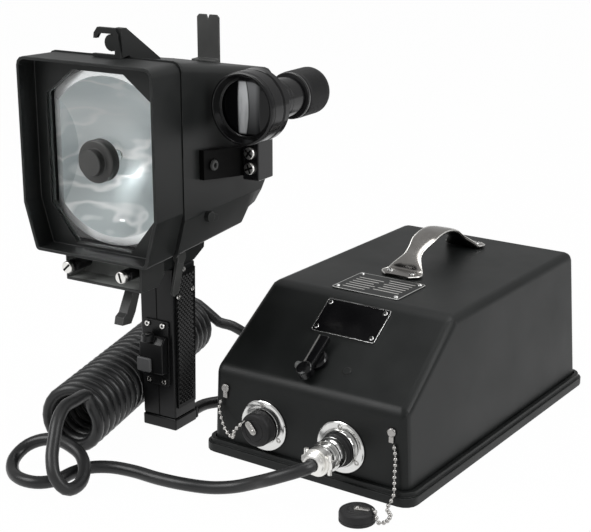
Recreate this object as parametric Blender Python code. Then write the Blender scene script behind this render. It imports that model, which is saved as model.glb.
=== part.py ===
# Hand signalling lamp with telescope, curly cable and battery case.
# Metres, +Z up. The lamp faces -Y. The origin is the middle of the grip's underside.

import bpy
import bmesh
import math
from mathutils import Matrix, Vector

MM = 0.001

# Shared values
GAP = 0.3 * MM              # running clearance between touching pieces
OVER = 2.0 * MM             # how far a cutter runs past the face it cuts
SCREW_R = 2.6 * MM          # head radius of the small case screws
SCREW_H = 1.2 * MM          # head height of the small case screws
SHEET = 2.5 * MM            # wall of the pressed housings

# Lamp head: hood and housing
HOOD_W = 159.0 * MM
HOOD_H = 187.0 * MM
HEAD_LIFT = 32.4 * MM         # hood's lower edge above the grip's top
HOOD_FRONT_Y = -118.4 * MM
HOOD_DEPTH = 45.0 * MM
HOOD_NARROW = 2.0 * MM      # how much each side draws in towards the seam
HOOD_WALL = 3.0 * MM
HOOD_CORNER_R = 9.0 * MM
CHAMFER_RISE = 46.0 * MM    # where the lower corner chamfer starts above the hood's lower edge
CHAMFER_IN = 13.0 * MM
WEB_T = 3.0 * MM            # web that carries the eight-sided window
WEB_SETBACK = 21.4 * MM     # window face behind the rim
WINDOW_SIDE = 16.5 * MM     # margins of the eight-sided window inside the hood's outline
WINDOW_ABOVE = 12.0 * MM
WINDOW_BELOW = 7.0 * MM
WINDOW_TOP_CORNER = 33.0 * MM
WINDOW_LOW_CORNER = 30.0 * MM
WINDOW_TOP_CUT = 25.0 * MM
WINDOW_BOTTOM_CUT = 37.0 * MM
GLASS_LAP = 2.0 * MM
GLASS_T = 2.0 * MM
FRAME_T = 3.0 * MM
HOUSING_IN = 2.0 * MM       # housing inside the hood's outline at the sides and below
HOUSING_DROP = 0.5 * MM     # and at the top
HOUSING_TAPER = 22.3 * MM   # how much narrower its rear is
HOUSING_FALL = 28.1 * MM    # how much lower the roof is at its rear
HEAD_DEPTH = 218.0 * MM     # hood's rim to the housing's rear face
HOUSING_CHAMFER_RISE = 36.0 * MM
HOUSING_CHAMFER_IN = 10.0 * MM
FLANGE_PROUD = 1.0 * MM
FLANGE_LEN = 3.2 * MM
TAIL_STEP_A = 49.0 * MM     # from the rear face to where the floor starts to rise
TAIL_STEP_B = 36.0 * MM
TAIL_STEP_C = 23.0 * MM
TAIL_STEP_D = 6.0 * MM
TAIL_RISE_A = 3.0 * MM
TAIL_RISE_B = 16.0 * MM
TAIL_RISE_C = 19.0 * MM
TAIL_RISE_D = 44.0 * MM
TAIL_RISE_E = 83.0 * MM
SLOT_W = 12.0 * MM          # slot in the housing floor for the reflector's arm

# Optics inside the head
AXIS_LIFT = 1.0 * MM         # optical axis above the window's middle
REFLECTOR_IN = 4.0 * MM     # reflector's radius inside the window's half height
REFLECTOR_FOCUS = 35.0 * MM
REFLECTOR_T = 1.2 * MM
REFLECTOR_LIP = 5.5 * MM    # flat rim round the bowl
REFLECTOR_SIDE = 5.5 * MM   # its cut sides outside the window
REFLECTOR_SET = 5.5 * MM    # rim behind the glass frame
PIVOT_BACK = 22.0 * MM      # tilt axis behind the rim
TRUNNION_R = 2.5 * MM
BEARING_SIZE = 12.0 * MM
ARM_W = 6.0 * MM
ARM_T = 4.0 * MM
ARM_BELOW = 15.0 * MM       # arm's lower end below the hood's lower edge
BULB_R = 6.0 * MM
BULB_NECK_R = 4.0 * MM
HOLDER_R = 7.0 * MM
CAP_R = 20.5 * MM
CAP_H = 21.0 * MM
CAP_STEP_R = 12.8 * MM
CAP_STEP_H = 8.5 * MM
CAP_NECK_R = 5.0 * MM
CAP_NUT_R = 9.0 * MM
CAP_NUT_H = 2.5 * MM

# Sights
SIGHT_BACK = 8.6 * MM       # front sight's front face before the hood's seam
SIGHT_W = 34.0 * MM
SIGHT_H = 27.4 * MM
SIGHT_T = 4.0 * MM
SIGHT_BAR = 5.5 * MM
SIGHT_OPEN_share = 0.62      # height of the open left side
SIGHT_TUBE_R = 8.0 * MM
SIGHT_TUBE_X = 4.5 * MM
SIGHT_TUBE_RISE = 13.5 * MM
WEDGE_W = 9.0 * MM
WEDGE_FLAT = 9.0 * MM       # level top of the wedge behind the hoop
WEDGE_REACH = 60.0 * MM     # wedge's rear point behind the hoop
LEAF_W = 27.0 * MM
LEAF_H = 48.4 * MM          # above the roof
LEAF_IN = 17.6 * MM         # from the housing's rear face
LEAF_T = 2.0 * MM
LEAF_FOOT = 11.0 * MM
LEAF_CLIP = 3.0 * MM
NOTCH = 5.5 * MM

# Telescope
SCOPE_OUT = 34.0 * MM        # telescope's axis outside the bracket plate
SCOPE_RISE = 81.0 * MM      # and above the plate's lower edge
SCOPE_FRONT_Y = -31.0 * MM
BELL_R = 34.5 * MM
BELL_LEN = 20.0 * MM
BELL_MOUTH_R = 31.5 * MM
LENS_R = 28.0 * MM
LENS_SET = 8.0 * MM
LENS_T = 3.0 * MM
LENS_DOME = 1.5 * MM
SCOPE_R = 31.5 * MM
SCOPE_SHOULDER_R = 34.8 * MM
SCOPE_LEN = 17.0 * MM
SCOPE_STEP = 10.0 * MM
NECK_R = 19.5 * MM
NECK_LEN = 46.0 * MM
SCOPE_BORE = 16.0 * MM
FOCUS_R = 22.5 * MM
FOCUS_LEN = 5.0 * MM
EYECUP_R = 23.5 * MM
EYECUP_LEN = 38.0 * MM
EYECUP_MOUTH_R = 17.0 * MM
EYECUP_ROUND = 4.5 * MM
EYECUP_DEPTH = 14.0 * MM
EYE_LENS_T = 2.0 * MM
BRACKET_FRONT_Y = -44.0 * MM
BRACKET_REAR_Y = 50.0 * MM
BRACKET_RISE = 60.0 * MM    # plate's lower edge above the hood's
BRACKET_H = 28.5 * MM
BRACKET_TILT = 12.0 * MM     # plate's front end above its rear end
BRACKET_OUT = 1.5 * MM      # plate's face outside the hood's side
CRADLE_W = 19.0 * MM
CRADLE_Y = 21.0 * MM
CRADLE_H = 77.0 * MM
CLAMP_SCREW_R = 6.0 * MM
CLAMP_SCREW_H = 3.0 * MM
CLAMP_SCREW_LOW = 12.0 * MM
CLAMP_SCREW_STEP = 15.0 * MM
PLATE_SCREW_R = 4.5 * MM
PLATE_SCREW_IN = 15.0 * MM
CATCH_Y = -32.5 * MM
CATCH_RISE = 33.5 * MM      # catch's pivot above the hood's lower edge
CATCH_R = 5.5 * MM
CATCH_T = 5.0 * MM
CATCH_REACH = 13.0 * MM

# Underside: bracket, neck, trigger
CHANNEL_W = 92.0 * MM
CHANNEL_FRONT_Y = -100.0 * MM
CHANNEL_REAR_Y = -64.0 * MM
CHANNEL_LIFT = 1.4 * MM     # above the grip's top
CHANNEL_WALL = 2.5 * MM
CHANNEL_CUT = 10.0 * MM
CAPTIVE_X = 32.5 * MM
CAPTIVE_RISE = 17.5 * MM    # above the bracket's lower edge
CAPTIVE_R = 6.0 * MM
CAPTIVE_HEAD = 4.0 * MM
CAPTIVE_SHANK_R = 6.2 * MM
CAPTIVE_BARREL = 17.0 * MM    # thick part behind the bracket's front edge
CAPTIVE_STEM_R = 3.0 * MM
CAPTIVE_SHANK = 11.0 * MM
CAPTIVE_SLOT = 1.4 * MM
NECK_BLOCK_W = 40.0 * MM
NECK_BLOCK_REAR = 43.0 * MM
NECK_BLOCK_LIFT = 9.0 * MM
NECK_BLOCK_SLANT = 12.0 * MM
TRIGGER_Y = -44.0 * MM
TRIGGER_RISE = 5.4 * MM     # pivot above the grip's top
TRIGGER_T = 10.5 * MM
TRIGGER_SLOT = 11.5 * MM
TRIGGER_BOSS = 5.0 * MM
TRIGGER_PIN_R = 1.6 * MM
TRIGGER_REACH = 26.0 * MM
TRIGGER_DROP = 51.0 * MM
TRIGGER_TOE = 36.0 * MM
TRIGGER_BLADE = 12.0 * MM
FINGER_H = 21.0 * MM
FINGER_T = 4.0 * MM
LEVER_Y = -8.0 * MM
LEVER_RISE = 11.4 * MM
LEVER_R = 7.0 * MM
LEVER_T = 3.5 * MM
LEVER_SPACE = 2.6 * MM
LEVER_DROP = 35.0 * MM
LEVER_SWEEP = 11.0 * MM
LEVER_TIP_R = 5.5 * MM

# Grip
GRIP_W = 41.0 * MM
GRIP_FRONT_Y = -18.0 * MM
GRIP_REAR_Y = 18.0 * MM
GRIP_REAR_TOP_Y = 22.0 * MM
GRIP_TOP = 175.6 * MM
BUTT_H = 12.7 * MM
BUTT_LIP = 0.6 * MM
GRIP_BEVEL = 1.6 * MM
PANEL_T = 2.0 * MM
PANEL_BOTTOM = 24.0 * MM
PANEL_BELOW = 5.6 * MM      # below the grip's top
PANEL_FRONT_Y = -14.0 * MM
PANEL_MARGIN = 2.0 * MM
SWITCH_W = 31.0 * MM
SWITCH_BOTTOM = 49.0 * MM
SWITCH_TOP = 119.0 * MM
SWITCH_PLATE_T = 2.0 * MM
SWITCH_BODY_BOTTOM = 64.0 * MM
SWITCH_BODY_TOP = 103.0 * MM
SWITCH_BODY_DEPTH = 9.5 * MM
SWITCH_BODY_W = 30.0 * MM
KNOB_W = 17.0 * MM
KNOB_H = 15.0 * MM
KNOB_Z = 66.0 * MM
KNOB_T = 3.5 * MM
KNOB_X = -7.0 * MM
SWITCH_NOSE_R = 6.5 * MM
SWITCH_NOSE_H = 4.0 * MM
SWITCH_SCREW_R = 2.6 * MM
SWITCH_SCREW_X = 9.5 * MM
SWITCH_SCREW_EDGE = 4.5 * MM
GLAND_X = 13.5 * MM
GLAND_W = 13.5 * MM
GLAND_LEN = 5.0 * MM
GLAND_FOOT = 0.6 * MM

# Battery case, in its own frame: x across, y deep, front wall at -CASE_D / 2
CASE_X = 201.1 * MM
CASE_FRONT_Y = -39.0 * MM   # middle of the case's front wall
CASE_YAW = math.radians(-3.33)
CASE_W = 227.0 * MM
CASE_D = 375.0 * MM
CASE_H = 155.8 * MM
CASE_FRONT_H = 89.2 * MM
CASE_SLOPE_RUN = 94.3 * MM
CASE_SIDE_DRAFT_share = 0.0435
CASE_REAR_DRAFT_share = 0.07
CASE_EDGE_R = 9.0 * MM
TRAY_H = 13.7 * MM
TRAY_LOW_H = 9.0 * MM
TRAY_LIP = 7.3 * MM
TRAY_BEAD_LIP = 5.0 * MM
TRAY_FLOOR = 3.0 * MM
TRAY_R = 14.0 * MM
BATTERY_SIDE = 35.0 * MM    # room beside the battery, at the case's foot
BATTERY_FRONT = 138.9 * MM  # room before it
BATTERY_BACK = 28.9 * MM    # room behind it
BATTERY_ABOVE = 42.5 * MM   # room above it
TERMINAL_R = 7.0 * MM
TERMINAL_H = 9.0 * MM

# Fittings on the case
PLATE_X = -2.5 * MM
PLATE_IN = 11.1 * MM        # plate's front edge behind the top's front edge
PLATE_W = 78.0 * MM
PLATE_D = 57.0 * MM
PLATE_T = 1.0 * MM
PLATE_EDGE = 5.0 * MM
SLOPE_PLATE_X = 5.5 * MM
SLOPE_PLATE_S = 86.0 * MM   # up the slope from its lower edge, to the plate's middle
SLOPE_PLATE_W = 73.0 * MM
SLOPE_PLATE_H = 41.0 * MM
SLOPE_PANE_T = 0.8 * MM
KNOB_BOSS_X = -4.5 * MM
KNOB_BOSS_S = 33.0 * MM
KNOB_BOSS_R = 11.0 * MM
KNOB_BOSS_H = 6.0 * MM
BAR_W = 11.0 * MM
BAR_UP = 23.0 * MM
BAR_DOWN = 27.0 * MM
BAR_TIP_R = 8.0 * MM
BAR_T = 6.0 * MM
PLUG_X = 30.5 * MM
PLUG_S = 30.0 * MM
PLUG_R = 4.5 * MM
PLUG_H = 1.5 * MM
HANDLE_X = -3.5 * MM
HANDLE_BACK = 34.0 * MM     # rear foot before the top's rear edge
HANDLE_SPACE = 8.0 * MM    # front foot behind the name plate
HANDLE_RISE = 32.0 * MM
HANDLE_FOOT_W = 46.0 * MM
HANDLE_NECK_W = 19.0 * MM
HANDLE_GRIP_W = 27.0 * MM
HANDLE_T = 5.0 * MM
HANDLE_FOOT_T = 3.0 * MM
SOCKET_LEFT_share = 0.4308   # of the case's half width
SOCKET_RIGHT_share = 0.3568
SOCKET_Z = 40.6 * MM
FLANGE_R = 26.3 * MM
FLANGE_T = 2.6 * MM
FLANGE_SCREW_R = 2.4 * MM
FLANGE_SCREW_AT = 21.5 * MM
SPIGOT_R = 13.0 * MM
SPIGOT_H = 6.0 * MM
SOCKET_CAP_R = 17.0 * MM
SOCKET_CAP_H = 13.0 * MM
CAP_WALL = 3.0 * MM
SEAT_R = 18.5 * MM
SEAT_H = 3.5 * MM
RECEPTACLE_R = 14.0 * MM
RECEPTACLE_LEN = 11.0 * MM
COUPLING_R = 16.0 * MM
COUPLING_LEN = 11.5 * MM
PLUG_BODY_R = 11.5 * MM
PLUG_BODY_LEN = 9.0 * MM
CLAMP_R = 13.5 * MM
CLAMP_LEN = 8.0 * MM
CLAMP_EAR_W = 34.0 * MM
CLAMP_EAR_H = 8.0 * MM
CLAMP_EAR_SCREW_R = 2.2 * MM
EYELET_IN_LEFT = 18.0 * MM  # in from the case's sides
EYELET_IN_RIGHT = 18.0 * MM
EYELET_Z = 69.5 * MM
EYELET_R = 4.6 * MM
EYELET_T = 2.6 * MM
TAB_W = 5.0 * MM
TAB_DROP = 7.5 * MM
TAB_T = 1.2 * MM
SWIVEL_L = 15.0 * MM
SWIVEL_W = 7.0 * MM
SWIVEL_T = 1.4 * MM
SWIVEL_POST_R = 2.2 * MM
BEAD_BALL_R = 2.0 * MM
BEAD_PITCH = 5.6 * MM
BEAD_NECK_share = 0.42
LOOSE_IN = 23.0 * MM         # in from the case's right side
LOOSE_OUT = 50.1 * MM       # before the front wall
LOOSE_R = 17.0 * MM
LOOSE_H = 11.5 * MM

# Cable
CORD_D = 12.5 * MM
FLOOR_LIFT = 0.35 * MM      # room under the cable where it lies on the floor
COIL_FRONT_X = -33.0 * MM
COIL_FRONT_Y = -126.0 * MM
COIL_REAR_X = -108.7 * MM
COIL_REAR_Y = 184.0 * MM
COIL_MEAN_R = 28.8 * MM
TURN_GAP = 0.9 * MM         # room between the coil's turns
COIL_TURNS = 23
COIL_POINTS = 10
CORD_STEP = 15.0 * MM
LEAD_STEP = 20.0 * MM
CHAIN_HANG = 15.0 * MM      # first straight fall of the right chain
CHAIN_STRAY = 1.0 * MM
CHAIN_KNEE_Z = 11.5 * MM
CHAIN_WAY = ((7.5, 9.0), (17.5, 20.0), (20.0, 34.0), (16.5, 41.0),
    (13.5, 39.0))   # mm, sideways and out

# Places that follow from the sizes above
HOOD_BOTTOM = GRIP_TOP + HEAD_LIFT
HOOD_TOP = HOOD_BOTTOM + HOOD_H
CHAMFER_Z = HOOD_BOTTOM + CHAMFER_RISE
WINDOW_HALF_W = HOOD_W / 2 - WINDOW_SIDE
WINDOW_TOP = HOOD_TOP - WINDOW_ABOVE
WINDOW_BOTTOM = HOOD_BOTTOM + WINDOW_BELOW
WINDOW_TOP_HALF = WINDOW_HALF_W - WINDOW_TOP_CORNER
WINDOW_BOTTOM_HALF = WINDOW_HALF_W - WINDOW_LOW_CORNER
HOUSING_W = HOOD_W - HOUSING_IN * 2
HOUSING_REAR_W = HOUSING_W - HOUSING_TAPER
HOUSING_REAR_Y = HOOD_FRONT_Y + HEAD_DEPTH
HOUSING_TOP = HOOD_TOP - HOUSING_DROP
HOUSING_REAR_TOP = HOUSING_TOP - HOUSING_FALL
HOUSING_BOTTOM = HOOD_BOTTOM + HOUSING_IN
HOUSING_CHAMFER_Z = HOUSING_BOTTOM + HOUSING_CHAMFER_RISE
AXIS_Z = (WINDOW_TOP + WINDOW_BOTTOM) / 2 + AXIS_LIFT
REFLECTOR_R = (WINDOW_TOP - WINDOW_BOTTOM) / 2 - REFLECTOR_IN
ARM_BOTTOM_Z = HOOD_BOTTOM - ARM_BELOW
SIGHT_Y = HOOD_FRONT_Y + HOOD_DEPTH - SIGHT_BACK
LEAF_Y = HOUSING_REAR_Y - LEAF_IN
BRACKET_BOTTOM = HOOD_BOTTOM + BRACKET_RISE
BRACKET_X = HOOD_W / 2 + BRACKET_OUT
CRADLE_X = BRACKET_X + CRADLE_W
CRADLE_TOP = BRACKET_BOTTOM + CRADLE_H
SCOPE_X = BRACKET_X + SCOPE_OUT
SCOPE_Z = BRACKET_BOTTOM + SCOPE_RISE
CATCH_Z = HOOD_BOTTOM + CATCH_RISE
CHANNEL_BOTTOM = GRIP_TOP + CHANNEL_LIFT
CAPTIVE_Z = CHANNEL_BOTTOM + CAPTIVE_RISE
TRIGGER_Z = GRIP_TOP + TRIGGER_RISE
LEVER_Z = GRIP_TOP + LEVER_RISE
PANEL_TOP = GRIP_TOP - PANEL_BELOW
CASE_Y = CASE_FRONT_Y + CASE_D / 2
WALL_Y = -CASE_D / 2
TOP_FRONT_Y = WALL_Y + CASE_SLOPE_RUN
TOP_REAR_Y = CASE_D / 2 - CASE_H * CASE_REAR_DRAFT_share
BATTERY_W = CASE_W - BATTERY_SIDE * 2
BATTERY_D = CASE_D - BATTERY_FRONT - BATTERY_BACK
BATTERY_Y = WALL_Y + BATTERY_FRONT + BATTERY_D / 2
BATTERY_H = CASE_H - TRAY_FLOOR - GAP - BATTERY_ABOVE
PLATE_Y = TOP_FRONT_Y + PLATE_IN + PLATE_D / 2
HANDLE_NEAR_Y = PLATE_Y + PLATE_D / 2 + HANDLE_SPACE
HANDLE_LEN = TOP_REAR_Y - HANDLE_BACK - HANDLE_NEAR_Y
SOCKET_LEFT_X = -CASE_W / 2 * SOCKET_LEFT_share
SOCKET_RIGHT_X = CASE_W / 2 * SOCKET_RIGHT_share
EYELET_X_LEFT = EYELET_IN_LEFT - CASE_W / 2
EYELET_X_RIGHT = CASE_W / 2 - EYELET_IN_RIGHT
LOOSE_X = CASE_W / 2 - LOOSE_IN
LOOSE_Y = WALL_Y - LOOSE_OUT
CORD_R = CORD_D / 2
FLOOR_REST = CORD_R + FLOOR_LIFT
COIL_Z = COIL_MEAN_R + FLOOR_REST
COIL_FRONT = Vector((COIL_FRONT_X, COIL_FRONT_Y, COIL_Z))
COIL_REAR = Vector((COIL_REAR_X, COIL_REAR_Y, COIL_Z))
COIL_PITCH = CORD_D + TURN_GAP


# Tools

for leftover in list(bpy.data.objects):
    bpy.data.objects.remove(leftover)


def material(name, colour, roughness, metallic):
    made = bpy.data.materials.new(name)
    made.use_nodes = True
    shader = made.node_tree.nodes["Principled BSDF"]
    shader.inputs["Base Color"].default_value = (*colour, 1.0)
    shader.inputs["Roughness"].default_value = roughness
    shader.inputs["Metallic"].default_value = metallic
    made.diffuse_color = (*colour, 1.0)
    return made


BLACK_PAINT = material("black_paint", (0.022, 0.023, 0.023), 0.45, 0.0)
GREY_PAINT = material("grey_paint", (0.07, 0.072, 0.072), 0.5, 0.0)
BLACK_PLASTIC = material("black_plastic", (0.016, 0.016, 0.017), 0.4, 0.0)
RUBBER = material("black_rubber", (0.02, 0.02, 0.021), 0.6, 0.0)
CHROME = material("chrome", (0.75, 0.75, 0.74), 0.12, 1.0)
MIRROR = material("silvered", (0.72, 0.76, 0.77), 0.1, 1.0)
STEEL = material("steel", (0.5, 0.5, 0.5), 0.3, 1.0)
GLASS = material("clear_glass", (0.8, 0.85, 0.85), 0.03, 0.0)
BRASS = material("brass", (0.55, 0.4, 0.18), 0.3, 1.0)

CASE = bpy.data.objects.new("case_frame", None)
CASE.location = (CASE_X, CASE_Y, 0)
CASE.rotation_euler = (0, 0, CASE_YAW)
bpy.context.scene.collection.objects.link(CASE)


def finish(name, shape, surface, origin=(0, 0, 0), parent=None, angle=35.0):
    """Makes the object of a closed shape, with its origin at the given place."""
    bmesh.ops.recalc_face_normals(shape, faces=shape.faces)
    bmesh.ops.translate(shape, vec=-Vector(origin), verts=shape.verts)
    mesh = bpy.data.meshes.new(name)
    shape.to_mesh(mesh)
    shape.free()
    made = bpy.data.objects.new(name, mesh)
    bpy.context.scene.collection.objects.link(made)
    made.location = origin
    made.parent = parent
    if surface is not None:
        mesh.materials.append(surface)
    mesh.shade_smooth()
    mesh.set_sharp_from_angle(angle=math.radians(angle))
    return made


def helper(made):
    made.hide_render = True
    made.display_type = "WIRE"
    return made


def combine(target, other, operation):
    """Adds a Boolean of a helper object to a target."""
    step = target.modifiers.new(operation.lower(), "BOOLEAN")
    step.operation = operation
    step.object = helper(other)
    step.solver = "EXACT"
    return target


def cut(target, other):
    return combine(target, other, "DIFFERENCE")


def join(target, other):
    return combine(target, other, "UNION")


def bevelled(target, width, segments=2, angle=50.0):
    step = target.modifiers.new("bevel", "BEVEL")
    step.width = width
    step.segments = segments
    step.limit_method = "ANGLE"
    step.angle_limit = math.radians(angle)
    return target


def facing(direction, at=(0, 0, 0)):
    """Matrix whose local Z runs along a direction, from a point."""
    turn = Vector(direction).to_track_quat("Z", "Y").to_matrix().to_4x4()
    return Matrix.Translation(at) @ turn


def tilted(axis_x, axis_y, at):
    """Matrix with the given local X and Y directions, from a point."""
    x = Vector(axis_x).normalized()
    z = x.cross(Vector(axis_y)).normalized()
    y = z.cross(x)
    rows = Matrix((x, y, z)).transposed().to_4x4()
    return Matrix.Translation(at) @ rows


def turned(profile, matrix, sides=32):
    """Closed solid of revolution about local Z. The profile is (radius, height)."""
    shape = bmesh.new()
    rings = []
    for radius, height in profile:
        if radius <= 0:
            rings.append([shape.verts.new((0, 0, height))])
            continue
        ring = []
        for k in range(sides):
            a = 2 * math.pi * k / sides
            ring.append(shape.verts.new((radius * math.cos(a), radius * math.sin(a), height)))
        rings.append(ring)
    pairs = list(zip(rings, rings[1:]))
    if len(rings[0]) > 1 and len(rings[-1]) > 1:
        pairs.append((rings[-1], rings[0]))
    for lower, upper in pairs:
        for k in range(sides):
            n = (k + 1) % sides
            if len(lower) == 1 and len(upper) == 1:
                continue
            if len(lower) == 1:
                shape.faces.new((lower[0], upper[k], upper[n]))
            elif len(upper) == 1:
                shape.faces.new((lower[k], lower[n], upper[0]))
            else:
                shape.faces.new((lower[k], lower[n], upper[n], upper[k]))
    bmesh.ops.transform(shape, matrix=matrix, verts=shape.verts)
    return shape


def lofted(sections, closed=False):
    """Closed solid through rings of equal point counts, capped or joined end to end."""
    shape = bmesh.new()
    rings = [[shape.verts.new(p) for p in ring] for ring in sections]
    count = len(rings[0])
    pairs = list(zip(rings, rings[1:]))
    if closed:
        pairs.append((rings[-1], rings[0]))
    for one, two in pairs:
        for k in range(count):
            n = (k + 1) % count
            shape.faces.new((one[k], one[n], two[n], two[k]))
    if not closed:
        shape.faces.new(rings[0])
        shape.faces.new(list(reversed(rings[-1])))
    return shape


def rounded(corners, radii, steps=3):
    """Outline through 2-D corners with an arc of each radius."""
    outline = []
    total = len(corners)
    for i in range(total):
        here = Vector(corners[i])
        back = (Vector(corners[i - 1]) - here).normalized()
        ahead = (Vector(corners[(i + 1) % total]) - here).normalized()
        half = back.angle(ahead) / 2
        centre = here + (back + ahead).normalized() * (radii[i] / math.sin(half))
        reach = radii[i] / math.tan(half)
        first = here + back * reach - centre
        sweep = first.angle_signed(here + ahead * reach - centre)
        for k in range(steps + 1):
            spun = first.copy()
            spun.rotate(Matrix.Rotation(-sweep * k / steps, 2))
            outline.append(centre + spun)
    return outline


def prism(outline, matrix, low, high):
    """Extrudes a 2-D outline along local Z between two heights."""
    rings = []
    for height in (low, high):
        rings.append([matrix @ Vector((p[0], p[1], height)) for p in outline])
    return lofted(rings)


def box(low, high):
    x0, y0, z0 = low
    x1, y1, z1 = high
    return prism([(x0, y0), (x1, y0), (x1, y1), (x0, y1)], Matrix.Identity(4), z0, z1)


def disc_outline(radius, sides=24, centre=(0, 0)):
    points = []
    for k in range(sides):
        a = 2 * math.pi * k / sides
        points.append((centre[0] + radius * math.cos(a), centre[1] + radius * math.sin(a)))
    return points


def rect_outline(width, depth, radius, steps=3, centre=(0, 0)):
    cx, cy = centre
    hw, hd = width / 2, depth / 2
    corners = [(cx - hw, cy - hd), (cx + hw, cy - hd), (cx + hw, cy + hd), (cx - hw, cy + hd)]
    return rounded(corners, [radius] * 4, steps)


SIDE_VIEW = tilted((0, 1, 0), (0, 0, 1), (0, 0, 0))      # local x = Y, local y = Z, depth = X
FRONT_VIEW = tilted((1, 0, 0), (0, 0, 1), (0, 0, 0))     # local x = X, local y = Z, depth = -Y


# Lamp head

HOOD_SEAM_Y = HOOD_FRONT_Y + HOOD_DEPTH
WEB_Y = HOOD_FRONT_Y + WEB_SETBACK
GLASS_Y = WEB_Y + WEB_T + GAP
FRAME_Y = GLASS_Y + GLASS_T + GAP
RIM_Y = FRAME_Y + FRAME_T + REFLECTOR_SET
PIVOT_Y = RIM_Y + PIVOT_BACK


def head_ring(y, half, top, bottom, chamfer, inset, radius):
    """Six-cornered section of the head at a depth y, with its corners rounded."""
    corners = [(-half, top), (-half, chamfer), (-half + inset, bottom),
               (half - inset, bottom), (half, chamfer), (half, top)]
    soft = radius / 2
    outline = rounded(corners, [radius, soft, soft, soft, soft, radius], 3)
    return [(p[0], y, p[1]) for p in outline]


def hood_ring(y, inward):
    share = (y - HOOD_FRONT_Y) / HOOD_DEPTH
    half = HOOD_W / 2 - HOOD_NARROW * share - inward
    return head_ring(y, half, HOOD_TOP - HOOD_NARROW / 2 * share - inward,
                     HOOD_BOTTOM + HOOD_NARROW / 2 * share + inward,
                     CHAMFER_Z + inward / 2, CHAMFER_IN, HOOD_CORNER_R - inward)


def window_outline(lap):
    middle = (WINDOW_TOP + WINDOW_BOTTOM) / 2
    half = (WINDOW_TOP - WINDOW_BOTTOM) / 2 + lap
    wide = WINDOW_HALF_W + lap
    upper, lower = WINDOW_TOP_HALF + lap / 2, WINDOW_BOTTOM_HALF + lap / 2
    top_z, low_z = WINDOW_TOP - WINDOW_TOP_CUT, WINDOW_BOTTOM + WINDOW_BOTTOM_CUT
    return [(-upper, middle + half), (-wide, top_z), (-wide, low_z), (-lower, middle - half),
            (lower, middle - half), (wide, low_z), (wide, top_z), (upper, middle + half)]


hood = finish("front_hood", lofted([hood_ring(HOOD_FRONT_Y, 0), hood_ring(HOOD_SEAM_Y, 0)]),
    BLACK_PAINT)
cut(hood, finish("hood_pocket", lofted([hood_ring(HOOD_FRONT_Y - OVER, HOOD_WALL),
                                        hood_ring(WEB_Y, HOOD_WALL)]), None))
cut(hood, finish("hood_back_pocket", lofted([hood_ring(WEB_Y + WEB_T, HOOD_WALL),
                                             hood_ring(HOOD_SEAM_Y + OVER, HOOD_WALL)]), None))
cut(hood, finish("hood_window", prism(window_outline(0), FRONT_VIEW, -WEB_Y - WEB_T - OVER,
                                      -WEB_Y + OVER), None))
bevelled(hood, HOOD_WALL / 4, 1, 60)

glass = finish("front_glass", prism(window_outline(GLASS_LAP), FRONT_VIEW, -GLASS_Y - GLASS_T,
    -GLASS_Y), GLASS)
cut(glass, finish("glass_hole", turned([(0, -OVER), (CAP_NECK_R + GAP, -OVER),
    (CAP_NECK_R + GAP, GLASS_T + OVER), (0, GLASS_T + OVER)], facing((0, 1, 0), (0, GLASS_Y, AXIS_Z)),
    16), None))

frame = finish("glass_frame", lofted([hood_ring(FRAME_Y, HOOD_WALL + GAP),
                                      hood_ring(FRAME_Y + FRAME_T, HOOD_WALL + GAP)]), BLACK_PLASTIC)
cut(frame, finish("frame_window", prism(window_outline(GAP), FRONT_VIEW, -FRAME_Y - FRAME_T - OVER,
                                        -FRAME_Y + OVER), None))

HOUSING_FRONT_Y = HOOD_SEAM_Y + GAP


def housing_at(y):
    share = (y - HOUSING_FRONT_Y) / (HOUSING_REAR_Y - HOUSING_FRONT_Y)
    half = (HOUSING_W + (HOUSING_REAR_W - HOUSING_W) * share) / 2
    return half, HOUSING_TOP + (HOUSING_REAR_TOP - HOUSING_TOP) * share


def housing_ring(y, rise, inward, proud=0, shift=0):
    half, top = housing_at(y)
    low = HOUSING_BOTTOM + rise + inward - proud
    chamfer = max(HOUSING_CHAMFER_Z + inward / 2, low + HOUSING_CHAMFER_IN)
    return head_ring(y, half - inward + proud, top - inward + proud, low, chamfer,
                     HOUSING_CHAMFER_IN, HOOD_CORNER_R - inward)


TAIL = [(TAIL_STEP_A, TAIL_RISE_A), (TAIL_STEP_B, TAIL_RISE_B), (TAIL_STEP_C, TAIL_RISE_C),
        (TAIL_STEP_D, TAIL_RISE_D), (0, TAIL_RISE_E)]
rings = [housing_ring(HOUSING_FRONT_Y, 0, 0, FLANGE_PROUD),
         housing_ring(HOUSING_FRONT_Y + FLANGE_LEN, 0, 0, FLANGE_PROUD),
         housing_ring(HOUSING_FRONT_Y + FLANGE_LEN + FLANGE_PROUD, 0, 0)]
for step, rise in TAIL:
    rings.append(housing_ring(HOUSING_REAR_Y - step, rise, 0))
inner = [housing_ring(HOUSING_FRONT_Y - OVER, 0, SHEET)]
for step, rise in TAIL:
    inner.append(housing_ring(HOUSING_REAR_Y - step - SHEET, rise, SHEET))
housing = finish("rear_housing", lofted(rings), BLACK_PAINT, angle=25)
cut(housing, finish("housing_hollow", lofted(inner), None))
ARM_Y = TRIGGER_Y - TRIGGER_BOSS - FINGER_T - ARM_T
SLOT_FRONT_Y = CHANNEL_REAR_Y - ARM_T
SLOT_REAR_Y = TRIGGER_Y + TRIGGER_BOSS
cut(housing, finish("floor_slot", box((-SLOT_W / 2, SLOT_FRONT_Y, HOUSING_BOTTOM - OVER),
                                      (SLOT_W / 2, SLOT_REAR_Y, HOUSING_BOTTOM + SHEET + OVER)), None))


# Optics

BOWL_DEPTH = REFLECTOR_R ** 2 / (4 * REFLECTOR_FOCUS)


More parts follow.
